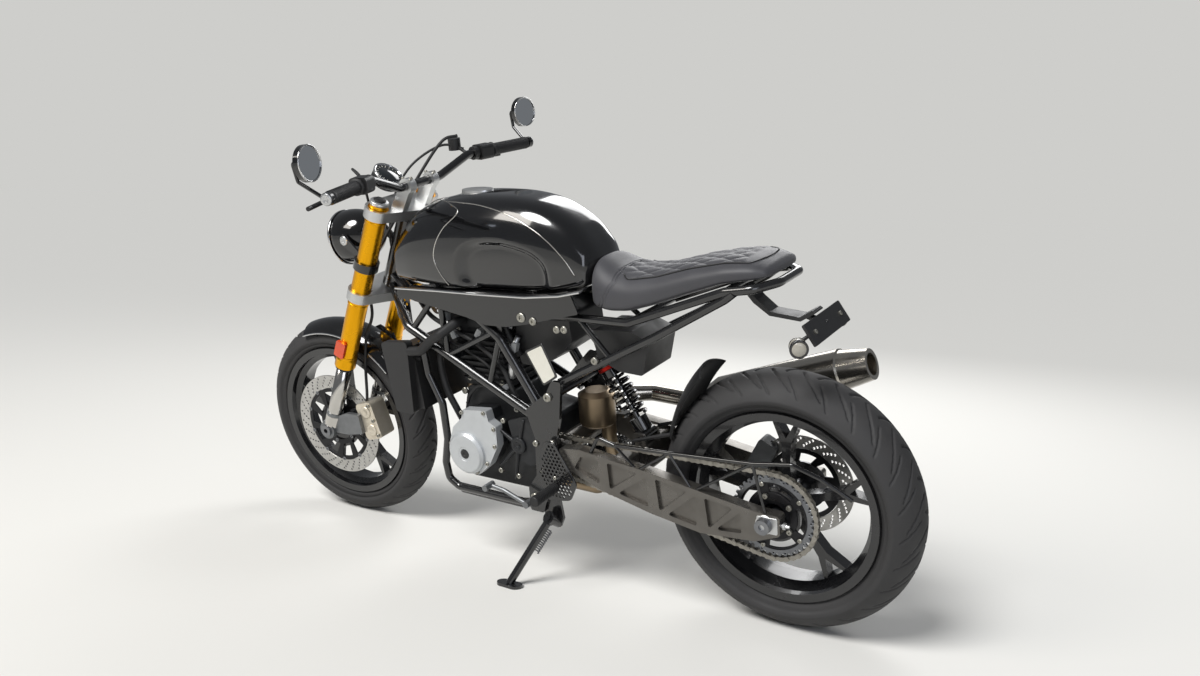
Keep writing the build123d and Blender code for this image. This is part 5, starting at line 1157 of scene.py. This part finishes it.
class MOTORCYCLE_OT_fork(bpy.types.Operator):
    """Dresses the fork: bright stanchions, seals, caps, the fender's bead and the brake hose"""

    bl_idname = "motorcycle.fork"
    bl_label = "Fork"

    def execute(self, context):
        bright, dark, caps, gold = [], [], [], []
        for hand in (1, -1):
            low = fork_point(FORK_OFFSET, hand * LEG_Y, 0)
            bright.append(turned(((60, 20.9), (62, 21.1), (227, 21.1)), low, UP_FORK, 48))
            bright.append(turned(((16, 23.4), (18, 23.9), (50, 23.9), (58, 22.6), (62, 22.0)), low, UP_FORK, 48))
            dark.append(turned(((218, 22), (219, 26), (226, 28)), low, UP_FORK, 48))
            dark.append(turned(((FORK_TOP + 9, 17), (FORK_TOP + 17, 16), (FORK_TOP + 18, 14)), low, UP_FORK, 6))
            caps.append(turned(((FORK_TOP + 4, 24.2), (FORK_TOP + 11, 24.2), (FORK_TOP + 13, 22)), low, UP_FORK, 40))
            for at in (UPPER_CLAMP - 12, LOWER_CLAMP - 16, 258):
                gold.append(turned(((at, 27.1), (at + 1, 28.2), (at + 5, 28.2), (at + 6, 27.1)), low, UP_FORK, 48))
        add_steered("stanchions", bright, "polished")
        add_steered("fork_seals", dark, "rubber")
        add_steered("fork_caps", caps, "machined")
        add_steered("fork_rings", gold, "gold")
        screws = []
        for hand in (1, -1):
            for at in (UPPER_CLAMP + 8, UPPER_CLAMP + 20, LOWER_CLAMP + 7, LOWER_CLAMP + 21):
                spot = fork_point(FORK_OFFSET - 30, hand * (LEG_Y - 16), at)
                screws.append(bolt(spot, -AHEAD, 5, 7, 12))
            for along in (-10, 10):
                spot = BAR_CENTRE + (along * 1.3, hand * 46, 16)
                screws.append(bolt(spot, (0, 0, 1), 4.5, 6, 12))
        add_steered("clamp_screws", screws, "bolt", False)
        radius = 69.5
        edge = math.radians(57)
        bead = []
        for hand in (1, -1):
            a = np.radians(np.linspace(70.5, 139.5, 60))
            r = 236 + radius * math.cos(edge)
            path = np.stack([FRONT_AXLE[0] + r * np.cos(a), np.full(60, hand * radius * math.sin(edge)),
                             FRONT_AXLE[2] + r * np.sin(a)], -1)
            bead.append(swept(path, 2.6, 10))
        add_steered("fender_bead", bead, "chrome")
        hose = [fork_point(*at) for at in (
            (-50, 72, 136), (-44, 74, 168), (-12, 64, 240), (6, 62, 320), (4, 62, 400), (48, 48, 470), (58, 20, 560), (58, -30, 660),
            (62, -90, 760), (58, -150, 850), (38, -186, 872))]
        add_steered("brake_hose", [swept(smooth_path(hose, 120), 4.2, 12)], "rubber")
        loops = [[fork_point(*at) for at in route] for route in (
            ((24, 205, 838), (66, 180, 830), (92, 110, 780), (92, 60, 700), (70, 40, 610), (44, 34, 540)),
            ((20, -205, 838), (70, -170, 830), (100, -100, 770), (96, -50, 690), (72, -30, 600), (44, -28, 540)),
        )]
        add_steered("control_cables", [swept(smooth_path(route, 80), 3.4, 12) for route in loops],
                    "rubber")
        a = math.radians(165)
        spot = FRONT_AXLE + np.array([math.cos(a), 0, math.sin(a)]) * 152
        along = np.array([-math.sin(a), 0, math.cos(a)])
        cups = [turned(((26, 18), (29, 18), (30.5, 16), (30.5, 9), (29.5, 8)), spot + along * shift + (0, 66, 0),
                       (0, 1, 0), 32) for shift in (-27, 27)]
        add_steered("caliper_cups", cups, "sand")
        screws = [bolt(spot + along * shift + np.array([math.cos(a), 0, math.sin(a)]) * 20 + (0, 92.6, 0),
                       (0, 1, 0), 5.5, 6, 12) for shift in (-44, 0, 44)]
        add_steered("caliper_screws", screws, "bolt", False)
        return {"FINISHED"}


class MOTORCYCLE_OT_lamps(bpy.types.Operator):
    """Gives the headlight its bowl, the instrument its face and the rear lamps their rings"""

    bl_idname = "motorcycle.lamps"
    bl_label = "Lamps and dial"

    def execute(self, context):
        arc = np.linspace(0, 1, 14)
        back = np.stack([-16 - 96 * arc, 14 + (LAMP_R - 14) * np.sqrt(np.clip(1 - arc**2.1, 0, 1))], -1)
        bowl = [(-46 + 44 * t, 8 + 58 * t**0.55) for t in np.linspace(0, 1, 14)]
        shell = turned([(-47, 0.5), *bowl, (0, LAMP_R - 6), (2, LAMP_R - 3), (2, LAMP_R), *back, (-112, 1)],
                       LAMP_FRONT, LAMP_AXIS, 96)
        piece = add_steered("lamp_shell", [shell], "gloss")
        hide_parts("headlight")
        mirror = turned([(-46, 0.5)] + [(along + 0.5, radius - 0.3) for along, radius in bowl], LAMP_FRONT, LAMP_AXIS, 96)
        points, faces = mirror
        add_steered("lamp_reflector", [(points, faces[:-2])], "chrome")
        bulb = turned([(-45, 1), (-44, 9), (-30, 9), (-22, 7), (-18, 1)], LAMP_FRONT, LAMP_AXIS, 32)
        add_steered("lamp_bulb", [bulb], "amber")
        bezel = turned([(-3, LAMP_R + 0.2), (-2, LAMP_R + 2), (3, LAMP_R + 2), (6, LAMP_R - 1), (5, LAMP_R - 7),
                        (2.4, LAMP_R - 8), (2.2, LAMP_R - 0.2)], LAMP_FRONT, LAMP_AXIS, 96)
        points, faces = bezel
        add_steered("lamp_bezel", [(points, faces[:-2] + ring_close(points, 96))], "chrome")
        pin = LAMP_FRONT + (-58, 0, 11)
        discs = [turned(((76, 13), (81, 13), (83, 11), (83, 4), (81, 3)), pin * (1, 0, 1), (0, hand, 0), 32)
                 for hand in (1, -1)]
        add_steered("lamp_pivots", discs, "machined")
        ring = turned(((13, DIAL_R + 1.2), (17, DIAL_R + 1.2), (18, DIAL_R - 0.5), (17, DIAL_R - 4), (14.4, DIAL_R - 4.4)),
                      DIAL_AT, DIAL_NORMAL, 72)
        add_steered("dial_ring", [ring], "chrome")
        face = turned(((14.3, DIAL_R - 4), (14.8, DIAL_R - 4.5)), DIAL_AT, DIAL_NORMAL, 64)
        add_steered("dial_face", [face], "dial")
        marks = []
        first, second = upright_frame(DIAL_NORMAL)
        for a in np.radians(np.linspace(-130, 130, 14)):
            out = math.sin(a) * first + math.cos(a) * second
            side_way = np.cross(DIAL_NORMAL, out)
            tick = prism(np.array([(-0.5, 27), (0.5, 27), (0.5, 32), (-0.5, 32)]), 14.7, 15.1)
            marks.append(outwards(tick[0] @ np.stack([side_way, out, DIAL_NORMAL]) + DIAL_AT, tick[1]))
        add_steered("dial_marks", marks, "white", False)
        rings, lenses = [], []
        for hand in (1, -1):
            axis = np.array([-0.5, hand * 0.866, 0])
            at = np.array([-70.0, hand * 108, 704])
            rings.append(turned(((7, 18.2), (8, 19.6), (14, 19.6), (15, 18), (14, 16)), at, axis, 40))
            rings.append(turned(((-16, 8), (-14, 15), (-10, 18.4), (-6, 18.4)), at, axis, 40))
            lenses.append(turned(((12.5, 16), (15, 14), (17, 9), (17.8, 0.5)), at, axis, 40))
        points, faces = joined(rings)
        add_piece("tail_lamp_rings", place(points), faces, MATERIALS["gloss"], "chassis")
        points, faces = joined(lenses)
        add_piece("tail_lamp_lenses", place(points), faces, MATERIALS["amber"], "chassis")
        return {"FINISHED"}


def ring_close(points, sides):
    """The faces that join the last ring of a turned profile back to its first."""
    last = len(points) - sides
    return [[last + i, last + (i + 1) % sides, (i + 1) % sides, i] for i in range(sides)]


def on_bar(left, hand):
    """The point on the outer part of the handlebar, this far from the middle."""
    share = (left - BAR_KNEE[1]) / (BAR_END[1] - BAR_KNEE[1])
    return (BAR_KNEE + (BAR_END - BAR_KNEE) * share) * (1, hand, 1)


def grip_surface(hand, rows=150, columns=96):
    """A grip: r = 15.6 + 1.2 |sin(u) sin(v)|^0.4 along two crossing spirals, between plain ends."""
    start, end = on_bar(GRIP_START, hand), on_bar(GRIP_END, hand)
    axis = (end - start) / np.linalg.norm(end - start)
    first, second = upright_frame(axis)
    along = np.linspace(0, np.linalg.norm(end - start), rows)[:, None]
    angle = np.linspace(0, 2 * math.pi, columns, endpoint=False)[None]
    u = math.pi * (along / 6.5 + 8 * angle / math.pi / 2)
    v = math.pi * (along / 6.5 - 8 * angle / math.pi / 2)
    knurl = np.abs(np.sin(u) * np.sin(v)) ** 0.4
    plain = (1 - smoothstep(9, 12, along)) + smoothstep(along[-1, 0] - 8, along[-1, 0] - 5, along)
    radius = 15.4 + 1.1 * knurl * (1 - plain) + 1.1 * plain
    radius = radius + 3.9 * (1 - smoothstep(3.5, 6, along))
    ring = np.cos(angle)[..., None] * first + np.sin(angle)[..., None] * second
    return start + along[..., None] * axis + radius[..., None] * ring


class MOTORCYCLE_OT_grips(bpy.types.Operator):
    """Moulds the grips and adds the bar's end weights and the mirrors' rims"""

    bl_idname = "motorcycle.grips"
    bl_label = "Grips"

    def execute(self, context):
        parts, weights = [], []
        for hand in (1, -1):
            surface = grip_surface(hand)
            rows, columns, _ = surface.shape
            faces = grid_faces(rows, columns, wrap_columns=True)
            parts.append(outwards(*capped(surface, faces, rows, columns)))
            end = on_bar(404, hand)
            axis = on_bar(404, hand) - on_bar(393, hand)
            weights.append(turned(((-0.5, 14), (2, 14), (4, 12), (4.6, 7), (3.4, 6)), end, axis, 32))
        piece = add_steered("grip_rubber", parts, "rubber")
        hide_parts("grips")
        add_steered("bar_weights", weights, "machined")
        rims = []
        for hand in (1, -1):
            facing = np.array([-0.97, hand * -0.16, 0.05])
            facing /= np.linalg.norm(facing)
            at = fork_point(-3.3, hand * 420, 925.1)
            first, second = upright_frame(facing)
            angle = np.linspace(0, 2 * math.pi, 80, endpoint=False)
            ring = np.cos(angle)[:, None] * first + np.sin(angle)[:, None] * second
            tube_angle = np.linspace(0, 2 * math.pi, 10, endpoint=False)
            centre = at + facing * 7 + 39.6 * ring
            points = (centre[:, None] + 1.7 * np.cos(tube_angle)[None, :, None] * ring[:, None]
                      + 1.7 * np.sin(tube_angle)[None, :, None] * facing)
            faces = grid_faces(80, 10, wrap_rows=True, wrap_columns=True).tolist()
            rims.append(outwards(points.reshape(-1, 3), faces))
        add_steered("mirror_rims", rims, "chrome")
        return {"FINISHED"}


HANGER = ((596, 320), (566, 250), (500, 262), (478, 308), (536, 406), (566, 406))
PEG_AT = (540.0, 292.0)
HEAD_GUARD = ((1072, 706), (1033, 711), (1032, 619), (1062, 621), (1084, 650))


def shrunk(outline, inset):
    """A convex outline moved inwards by a distance, corner by corner."""
    points = np.asarray(outline, float)
    before, after = points - np.roll(points, 1, 0), np.roll(points, -1, 0) - points
    before /= np.linalg.norm(before, axis=1)[:, None]
    after /= np.linalg.norm(after, axis=1)[:, None]
    area = np.cross(points, np.roll(points, -1, 0)).sum()
    turn = 1 if area > 0 else -1
    normal = turn * np.stack([-(before + after)[:, 1], (before + after)[:, 0]], -1)
    normal /= (np.linalg.norm(normal, axis=1) ** 2 / 2)[:, None]
    return points + normal * inset


def inside(outline, points):
    """Which points lie inside a convex outline."""
    corners = np.asarray(outline, float)
    side_of = [np.cross(np.roll(corners, -1, 0)[k] - corners[k], points - corners[k]) for k in range(len(corners))]
    return np.all(np.array(side_of) > 0, 0) | np.all(np.array(side_of) < 0, 0)


def rounded(outline, radius, count=6):
    """An outline with its corners cut back and rounded by a quadratic curve."""
    points = np.asarray(outline, float)
    before, after = np.roll(points, 1, 0) - points, np.roll(points, -1, 0) - points
    before = points + before / np.linalg.norm(before, axis=1)[:, None] * radius
    after = points + after / np.linalg.norm(after, axis=1)[:, None] * radius
    t = np.linspace(0, 1, count)[None, :, None]
    curve = (1 - t) ** 2 * before[:, None] + 2 * t * (1 - t) * points[:, None] + t**2 * after[:, None]
    return curve.reshape(-1, 2)


def perforated(outline, pitch, hole, margin, thickness):
    """A plate with round corners and a triangular grid of holes kept clear of its edge."""
    corners = np.asarray(outline, float)
    low, high = corners.min(0), corners.max(0)
    rows = np.arange(low[1], high[1], pitch * 0.866)
    grid = np.array([(x + (k % 2) * pitch / 2, z) for k, z in enumerate(rows)
                     for x in np.arange(low[0], high[0], pitch)])
    keep = grid[inside(shrunk(corners, margin), grid)]
    return flat_plate([rounded(corners, 9)] + [circle(x, z, hole, 10) for x, z in keep], thickness)


class MOTORCYCLE_OT_guards(bpy.types.Operator):
    """Makes the perforated heel and head guards, the footpegs and the blank badge"""

    bl_idname = "motorcycle.guards"
    bl_label = "Guards and footpegs"

    def execute(self, context):
        plates, pegs, screws = [], [], []
        for hand in (1, -1):
            plates.append(stood(perforated(HANGER, 10.5, 3.4, 9, 4), (0, hand * 146, 0)))
            for forward, up in ((556, 396), (580, 312)):
                plates.append(turned(((128.3, 6), (144.2, 6)), (forward, 0, up), (0, hand, 0), 20))
            peg = [(144, 8), (150, 8), (152, 12.6)]
            for k in range(14):
                start = 154 + 6 * k
                peg += [(start, 12.9), (start + 3.4, 12.9), (start + 3.8, 10.9), (start + 5.6, 10.9)]
            peg += [(238, 12.9), (240, 11.5)]
            pegs.append(turned(peg, (PEG_AT[0], 0, PEG_AT[1]), (0, hand, 0), 28))
            screws.append(bolt((PEG_AT[0], hand * 147.8, PEG_AT[1] + 24), (0, hand, 0), 5, 4, 12))
        points, faces = joined(plates)
        piece = add_piece("heel_guards", place(points), faces, MATERIALS["frame"], "chassis", False)
        points, faces = joined(pegs)
        pegs_piece = add_piece("footpeg_rubbers", place(points), faces, MATERIALS["rubber"], "chassis", False)
        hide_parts("footrests")
        points, faces = joined(screws)
        add_piece("guard_screws", place(points), faces, MATERIALS["bolt"], "chassis", False)
        plates = [stood(perforated(HEAD_GUARD, 12, 4.2, 7, 3), (0, hand * 60, 0)) for hand in (1, -1)]
        points, faces = joined(plates)
        add_piece("head_guards", place(points), faces, MATERIALS["frame"], "chassis", False)
        badge = ((613, 622), (560, 648), (523, 568), (566, 540))
        points, faces = stood(flat_plate([rounded(badge, 6)], 2.4), (0, 126, 0))
        add_piece("badge_rim", place(points), faces, MATERIALS["gloss"], "chassis", False)
        points, faces = stood(flat_plate([rounded(shrunk(badge, 5), 5)], 1.2), (0, 127.6, 0))
        add_piece("badge_face", place(points), faces, MATERIALS["white"], "chassis", False)
        return {"FINISHED"}


# The upper edge of the side panels: forward and up
PANEL_EDGE = ((437, 783), (496, 769), (595, 757.5), (741, 753), (873, 751), (968, 748.5))
SHOCK_TOP = np.array([478.0, 0.0, 592.0])
SHOCK_LOW = np.array([366.0, 0.0, 402.0])
STAND_PIVOT = np.array([575.0, 138.0, 195.0])
STAND_FOOT = np.array([640.0, 240.0, 52.24])
RADIATOR_LOW = np.array([998.0, 0.0, 428.0])
RADIATOR_HIGH = np.array([1029.0, 0.0, 584.0])


class MOTORCYCLE_OT_trim(bpy.types.Operator):
    """Adds the radiator's fins, the axle's nut and adjusters, the stand's spring and the case's ribs"""

    bl_idname = "motorcycle.trim"
    bl_label = "Trim"

    def execute(self, context):
        up = RADIATOR_HIGH - RADIATOR_LOW
        length = np.linalg.norm(up)
        up = up / length
        ahead = np.array([up[2], 0, -up[0]])
        fins = []
        for at in np.linspace(6, length - 6, 17):
            part = prism(rounded_rectangle(4.4, 236, 1.0, 2), -1.2, 1.2)
            fins.append(outwards(*stood(part, RADIATOR_LOW + up * at + ahead * 0.6, ahead, (0, 1, 0))))
        wave = np.linspace(-117, 117, 157)
        zigzag = np.stack([np.where(np.arange(157) % 2, 1.4, -0.6), wave], -1)
        strip = np.concatenate([zigzag, zigzag[::-1] - (0.5, 0)])
        part = prism(strip, 6, length - 6)
        fins.append(outwards(part[0] @ np.stack([ahead, (0, 1, 0), up]) + RADIATOR_LOW, part[1]))
        points, faces = joined(fins)
        add_piece("radiator_fins", place(points), faces, MATERIALS["plastic"], "chassis", False)
        line = smooth_path(PANEL_EDGE, 90)
        ledges = []
        for hand in (1, -1):
            rows = [np.stack([line[:, 0], np.full(90, hand * y), line[:, 1] + z], -1)
                    for y, z in ((96, 4), (112, 3.4), (127, 0), (127, -2.5), (112, 0.8), (96, 1.4))]
            surface = np.stack(rows, 1)
            ledges.append(outwards(*capped(surface, grid_faces(90, 6, wrap_columns=True), 90, 6)))
        points, faces = joined(ledges)
        add_piece("panel_ledges", place(points), faces, MATERIALS["gloss"], "chassis")
        line = SHOCK_LOW - SHOCK_TOP
        line = line / np.linalg.norm(line)
        collar = turned(((30, 20), (32, 29), (40, 29), (42, 25)), SHOCK_TOP, line, 32)
        add_piece("shock_collar", place(collar[0]), collar[1], MATERIALS["red"], "chassis", False)
        leg = STAND_FOOT - STAND_PIVOT
        leg = leg / np.linalg.norm(leg)
        first, second = upright_frame(leg)
        turn = np.linspace(0, 22 * math.pi, 420)
        coil = (STAND_PIVOT + leg * (26 + 64 * turn / turn[-1])[:, None] - second * 19
                + 6.0 * (np.cos(turn)[:, None] * first + np.sin(turn)[:, None] * second))
        points, faces = swept(coil, 1.5, 8)
        add_piece("stand_spring", place(points), faces, MATERIALS["steel"], "side_stand")
        normal = np.array([-0.832, 0, 0.555])
        screws = [bolt(np.array([-89.0, y, 727]) + normal * 2.8, normal, 5, 4, 12) for y in (-70, 70)]
        points, faces = joined(screws)
        add_piece("plate_screws", place(points), faces, MATERIALS["bolt"], "chassis", False)
        parts = []
        for hand in (1, -1):
            parts.append(turned(((134, 22), (137, 22), (138, 21)), REAR_AXLE, (0, hand, 0), 40))
            parts.append(turned(((137, 15.5), (149, 15.5), (150.5, 14), (150.5, 9), (149, 8)), REAR_AXLE,
                                (0, hand, 0), 6))
            parts.append(stood(flat_plate([rounded(((-30, -19), (18, -19), (18, 19), (-30, 19)), 5)], 3),
                               REAR_AXLE + (0, hand * 137, 0)))
            parts.append(turned(((0, 4), (26, 4)), REAR_AXLE + (-52, hand * 126, 0), (1, 0, 0), 12))
            parts.append(turned(((0, 7.5), (6, 7.5)), REAR_AXLE + (-44, hand * 126, 0), (1, 0, 0), 6))
        points, faces = joined(parts)
        add_piece("axle_nuts", place(points), faces, MATERIALS["machined"], "chassis", False)
        ribs = []
        for end in ((738, 404), (738, 296), (648, 436), (690, 268)):
            path = np.linspace((671, 113, 364), (end[0], 112.5, end[1]), 12)
            ribs.append(swept(path, np.linspace(6.4, 4.0, 12), 10))
        ribs.append(turned(((111, 23), (117, 22), (119, 19), (119, 10), (117, 9)), (671, 0, 364), (0, 1, 0), 40))
        points, faces = joined(ribs)
        add_piece("sprocket_cover_ribs", place(points), faces, MATERIALS["engine"], "chassis")
        return {"FINISHED"}


# Camera fitted to the photograph, on the leaned machine before it is centred
CAMERA_AT = np.array([-834.2, 2171.2, 965.1])
CAMERA_YAW = math.radians(-57.337)
CAMERA_PITCH = math.radians(-8.066)
CAMERA_ROLL = math.radians(1.982)
FOCAL_PX = 1024.7
IMAGE_WIDTH_PX = 1200
SENSOR_MM = 36.0


def add_camera():
    """The camera, from its place, yaw, pitch and roll."""
    ahead = np.array([
        math.cos(CAMERA_YAW) * math.cos(CAMERA_PITCH), math.sin(CAMERA_YAW) * math.cos(CAMERA_PITCH),
        math.sin(CAMERA_PITCH),
    ])
    right = np.cross(ahead, (0.0, 0.0, 1.0))
    right /= np.linalg.norm(right)
    up = np.cross(right, ahead)
    c, s = math.cos(CAMERA_ROLL), math.sin(CAMERA_ROLL)
    right, up = c * right + s * up, c * up - s * right
    data = bpy.data.cameras.new("camera")
    data.sensor_width = SENSOR_MM
    data.lens = FOCAL_PX / IMAGE_WIDTH_PX * SENSOR_MM
    data.clip_end = 100.0
    camera = bpy.data.objects.new("camera", data)
    turn = Matrix(np.stack([right, up, -ahead], 1).tolist()).to_4x4()
    turn.translation = (CAMERA_AT + SHIFT) * MILLIMETRE
    camera.matrix_world = turn
    bpy.context.scene.collection.objects.link(camera)
    bpy.context.scene.camera = camera


def add_light(name, at, size, power, colour="#ffffff"):
    """A square soft lamp that faces the middle of the machine."""
    data = bpy.data.lights.new(name, "AREA")
    data.shape = "SQUARE"
    data.size = size
    data.energy = power
    data.color = linear(colour)[:3]
    lamp = bpy.data.objects.new(name, data)
    at = np.array(at, float)
    back = at - np.array([0.0, 0.0, 0.5])
    back /= np.linalg.norm(back)
    first, second = upright_frame(back)
    turn = Matrix(np.stack([first, second, back], 1).tolist()).to_4x4()
    turn.translation = at
    lamp.matrix_world = turn
    bpy.context.scene.collection.objects.link(lamp)


WORLD_COLOUR = "#e6eaf0"
WORLD_STRENGTH = 0.22
SUN_STRENGTH = 2.9
SUN_TILT = (math.radians(-38), math.radians(10))


def add_world(scene, floor_colour):
    """An even sky; to the camera alone it has the far floor's own brightness, so no horizon shows."""
    world = bpy.data.worlds.new("studio")
    scene.world = world
    world.use_nodes = True
    world.node_tree.nodes.clear()
    sky = add_node(world, "ShaderNodeBackground", {"Color": linear(WORLD_COLOUR), "Strength": WORLD_STRENGTH})
    sun_share = SUN_STRENGTH * math.cos(SUN_TILT[0]) * math.cos(SUN_TILT[1]) / math.pi
    seen = [f * (w * WORLD_STRENGTH + sun_share) for f, w in zip(floor_colour[:3], linear(WORLD_COLOUR))]
    backdrop = add_node(world, "ShaderNodeBackground", {"Color": seen + [1.0], "Strength": 1.0})
    path = add_node(world, "ShaderNodeLightPath")
    mix = add_node(world, "ShaderNodeMixShader", {0: path.outputs["Is Camera Ray"], 1: sky.outputs["Background"],
                                                  2: backdrop.outputs["Background"]})
    out = add_node(world, "ShaderNodeOutputWorld")
    world.node_tree.links.new(mix.outputs["Shader"], out.inputs["Surface"])


class MOTORCYCLE_OT_stage(bpy.types.Operator):
    """Sets the floor, the lights and the camera"""

    bl_idname = "motorcycle.stage"
    bl_label = "Stage"

    def execute(self, context):
        scene = context.scene
        floor_colour = linear(scene.motorcycle.floor_colour)
        floor_material, shader = new_material("Pale studio floor", {"Roughness": 0.85, "Base Color": floor_colour,
                                                                    "Specular IOR Level": 0.0})
        mesh = bpy.data.meshes.new("floor")
        half = 60.0
        mesh.from_pydata([(-half, -half, 0), (half, -half, 0), (half, half, 0), (-half, half, 0)], [], [(0, 1, 2, 3)])
        mesh.materials.append(floor_material)
        floor = bpy.data.objects.new("floor", mesh)
        scene.collection.objects.link(floor)
        add_world(scene, floor_colour)
        sun = bpy.data.lights.new("sun", "SUN")
        sun.energy = SUN_STRENGTH
        sun.angle = math.radians(25)
        lamp = bpy.data.objects.new("sun", sun)
        lamp.rotation_euler = (*SUN_TILT, 0)
        scene.collection.objects.link(lamp)
        add_light("key", (1.4, 3.0, 3.2), 1.5, 60, "#fffaf2")
        add_light("fill", (-3.0, 2.4, 1.6), 1.8, 26, "#eef3ff")
        add_light("back", (0.6, -3.0, 2.6), 2.0, 55)
        scene.view_settings.view_transform = "Standard"
        add_camera()
        return {"FINISHED"}


class MOTORCYCLE_PT_panel(bpy.types.Panel):
    """The machine's pieces"""

    bl_label = "Motorcycle"
    bl_space_type = "VIEW_3D"
    bl_region_type = "UI"
    bl_category = "Motorcycle"

    def draw(self, context):
        for name in ("seat_colour", "tank_colour", "fork_colour", "floor_colour", "tread_depth"):
            self.layout.prop(context.scene.motorcycle, name)
        for operator in OPERATORS:
            self.layout.operator(operator.bl_idname)


OPERATORS = (
    MOTORCYCLE_OT_finishes, MOTORCYCLE_OT_seat, MOTORCYCLE_OT_tyres, MOTORCYCLE_OT_tank, MOTORCYCLE_OT_drive,
    MOTORCYCLE_OT_brakes, MOTORCYCLE_OT_screws, MOTORCYCLE_OT_engine, MOTORCYCLE_OT_fork, MOTORCYCLE_OT_lamps,
    MOTORCYCLE_OT_grips, MOTORCYCLE_OT_guards, MOTORCYCLE_OT_trim, MOTORCYCLE_OT_stage,
)
CLASSES = (SceneSizes, *OPERATORS, MOTORCYCLE_PT_panel)


def register():
    for made in CLASSES:
        bpy.utils.register_class(made)
    bpy.types.Scene.motorcycle = bpy.props.PointerProperty(type=SceneSizes)


def unregister():
    del bpy.types.Scene.motorcycle
    for made in reversed(CLASSES):
        bpy.utils.unregister_class(made)


def main():
    register()
    for operator in OPERATORS:
        group, name = operator.bl_idname.split(".")
        getattr(getattr(bpy.ops, group), name)()


if __name__ == "__main__":
    main()
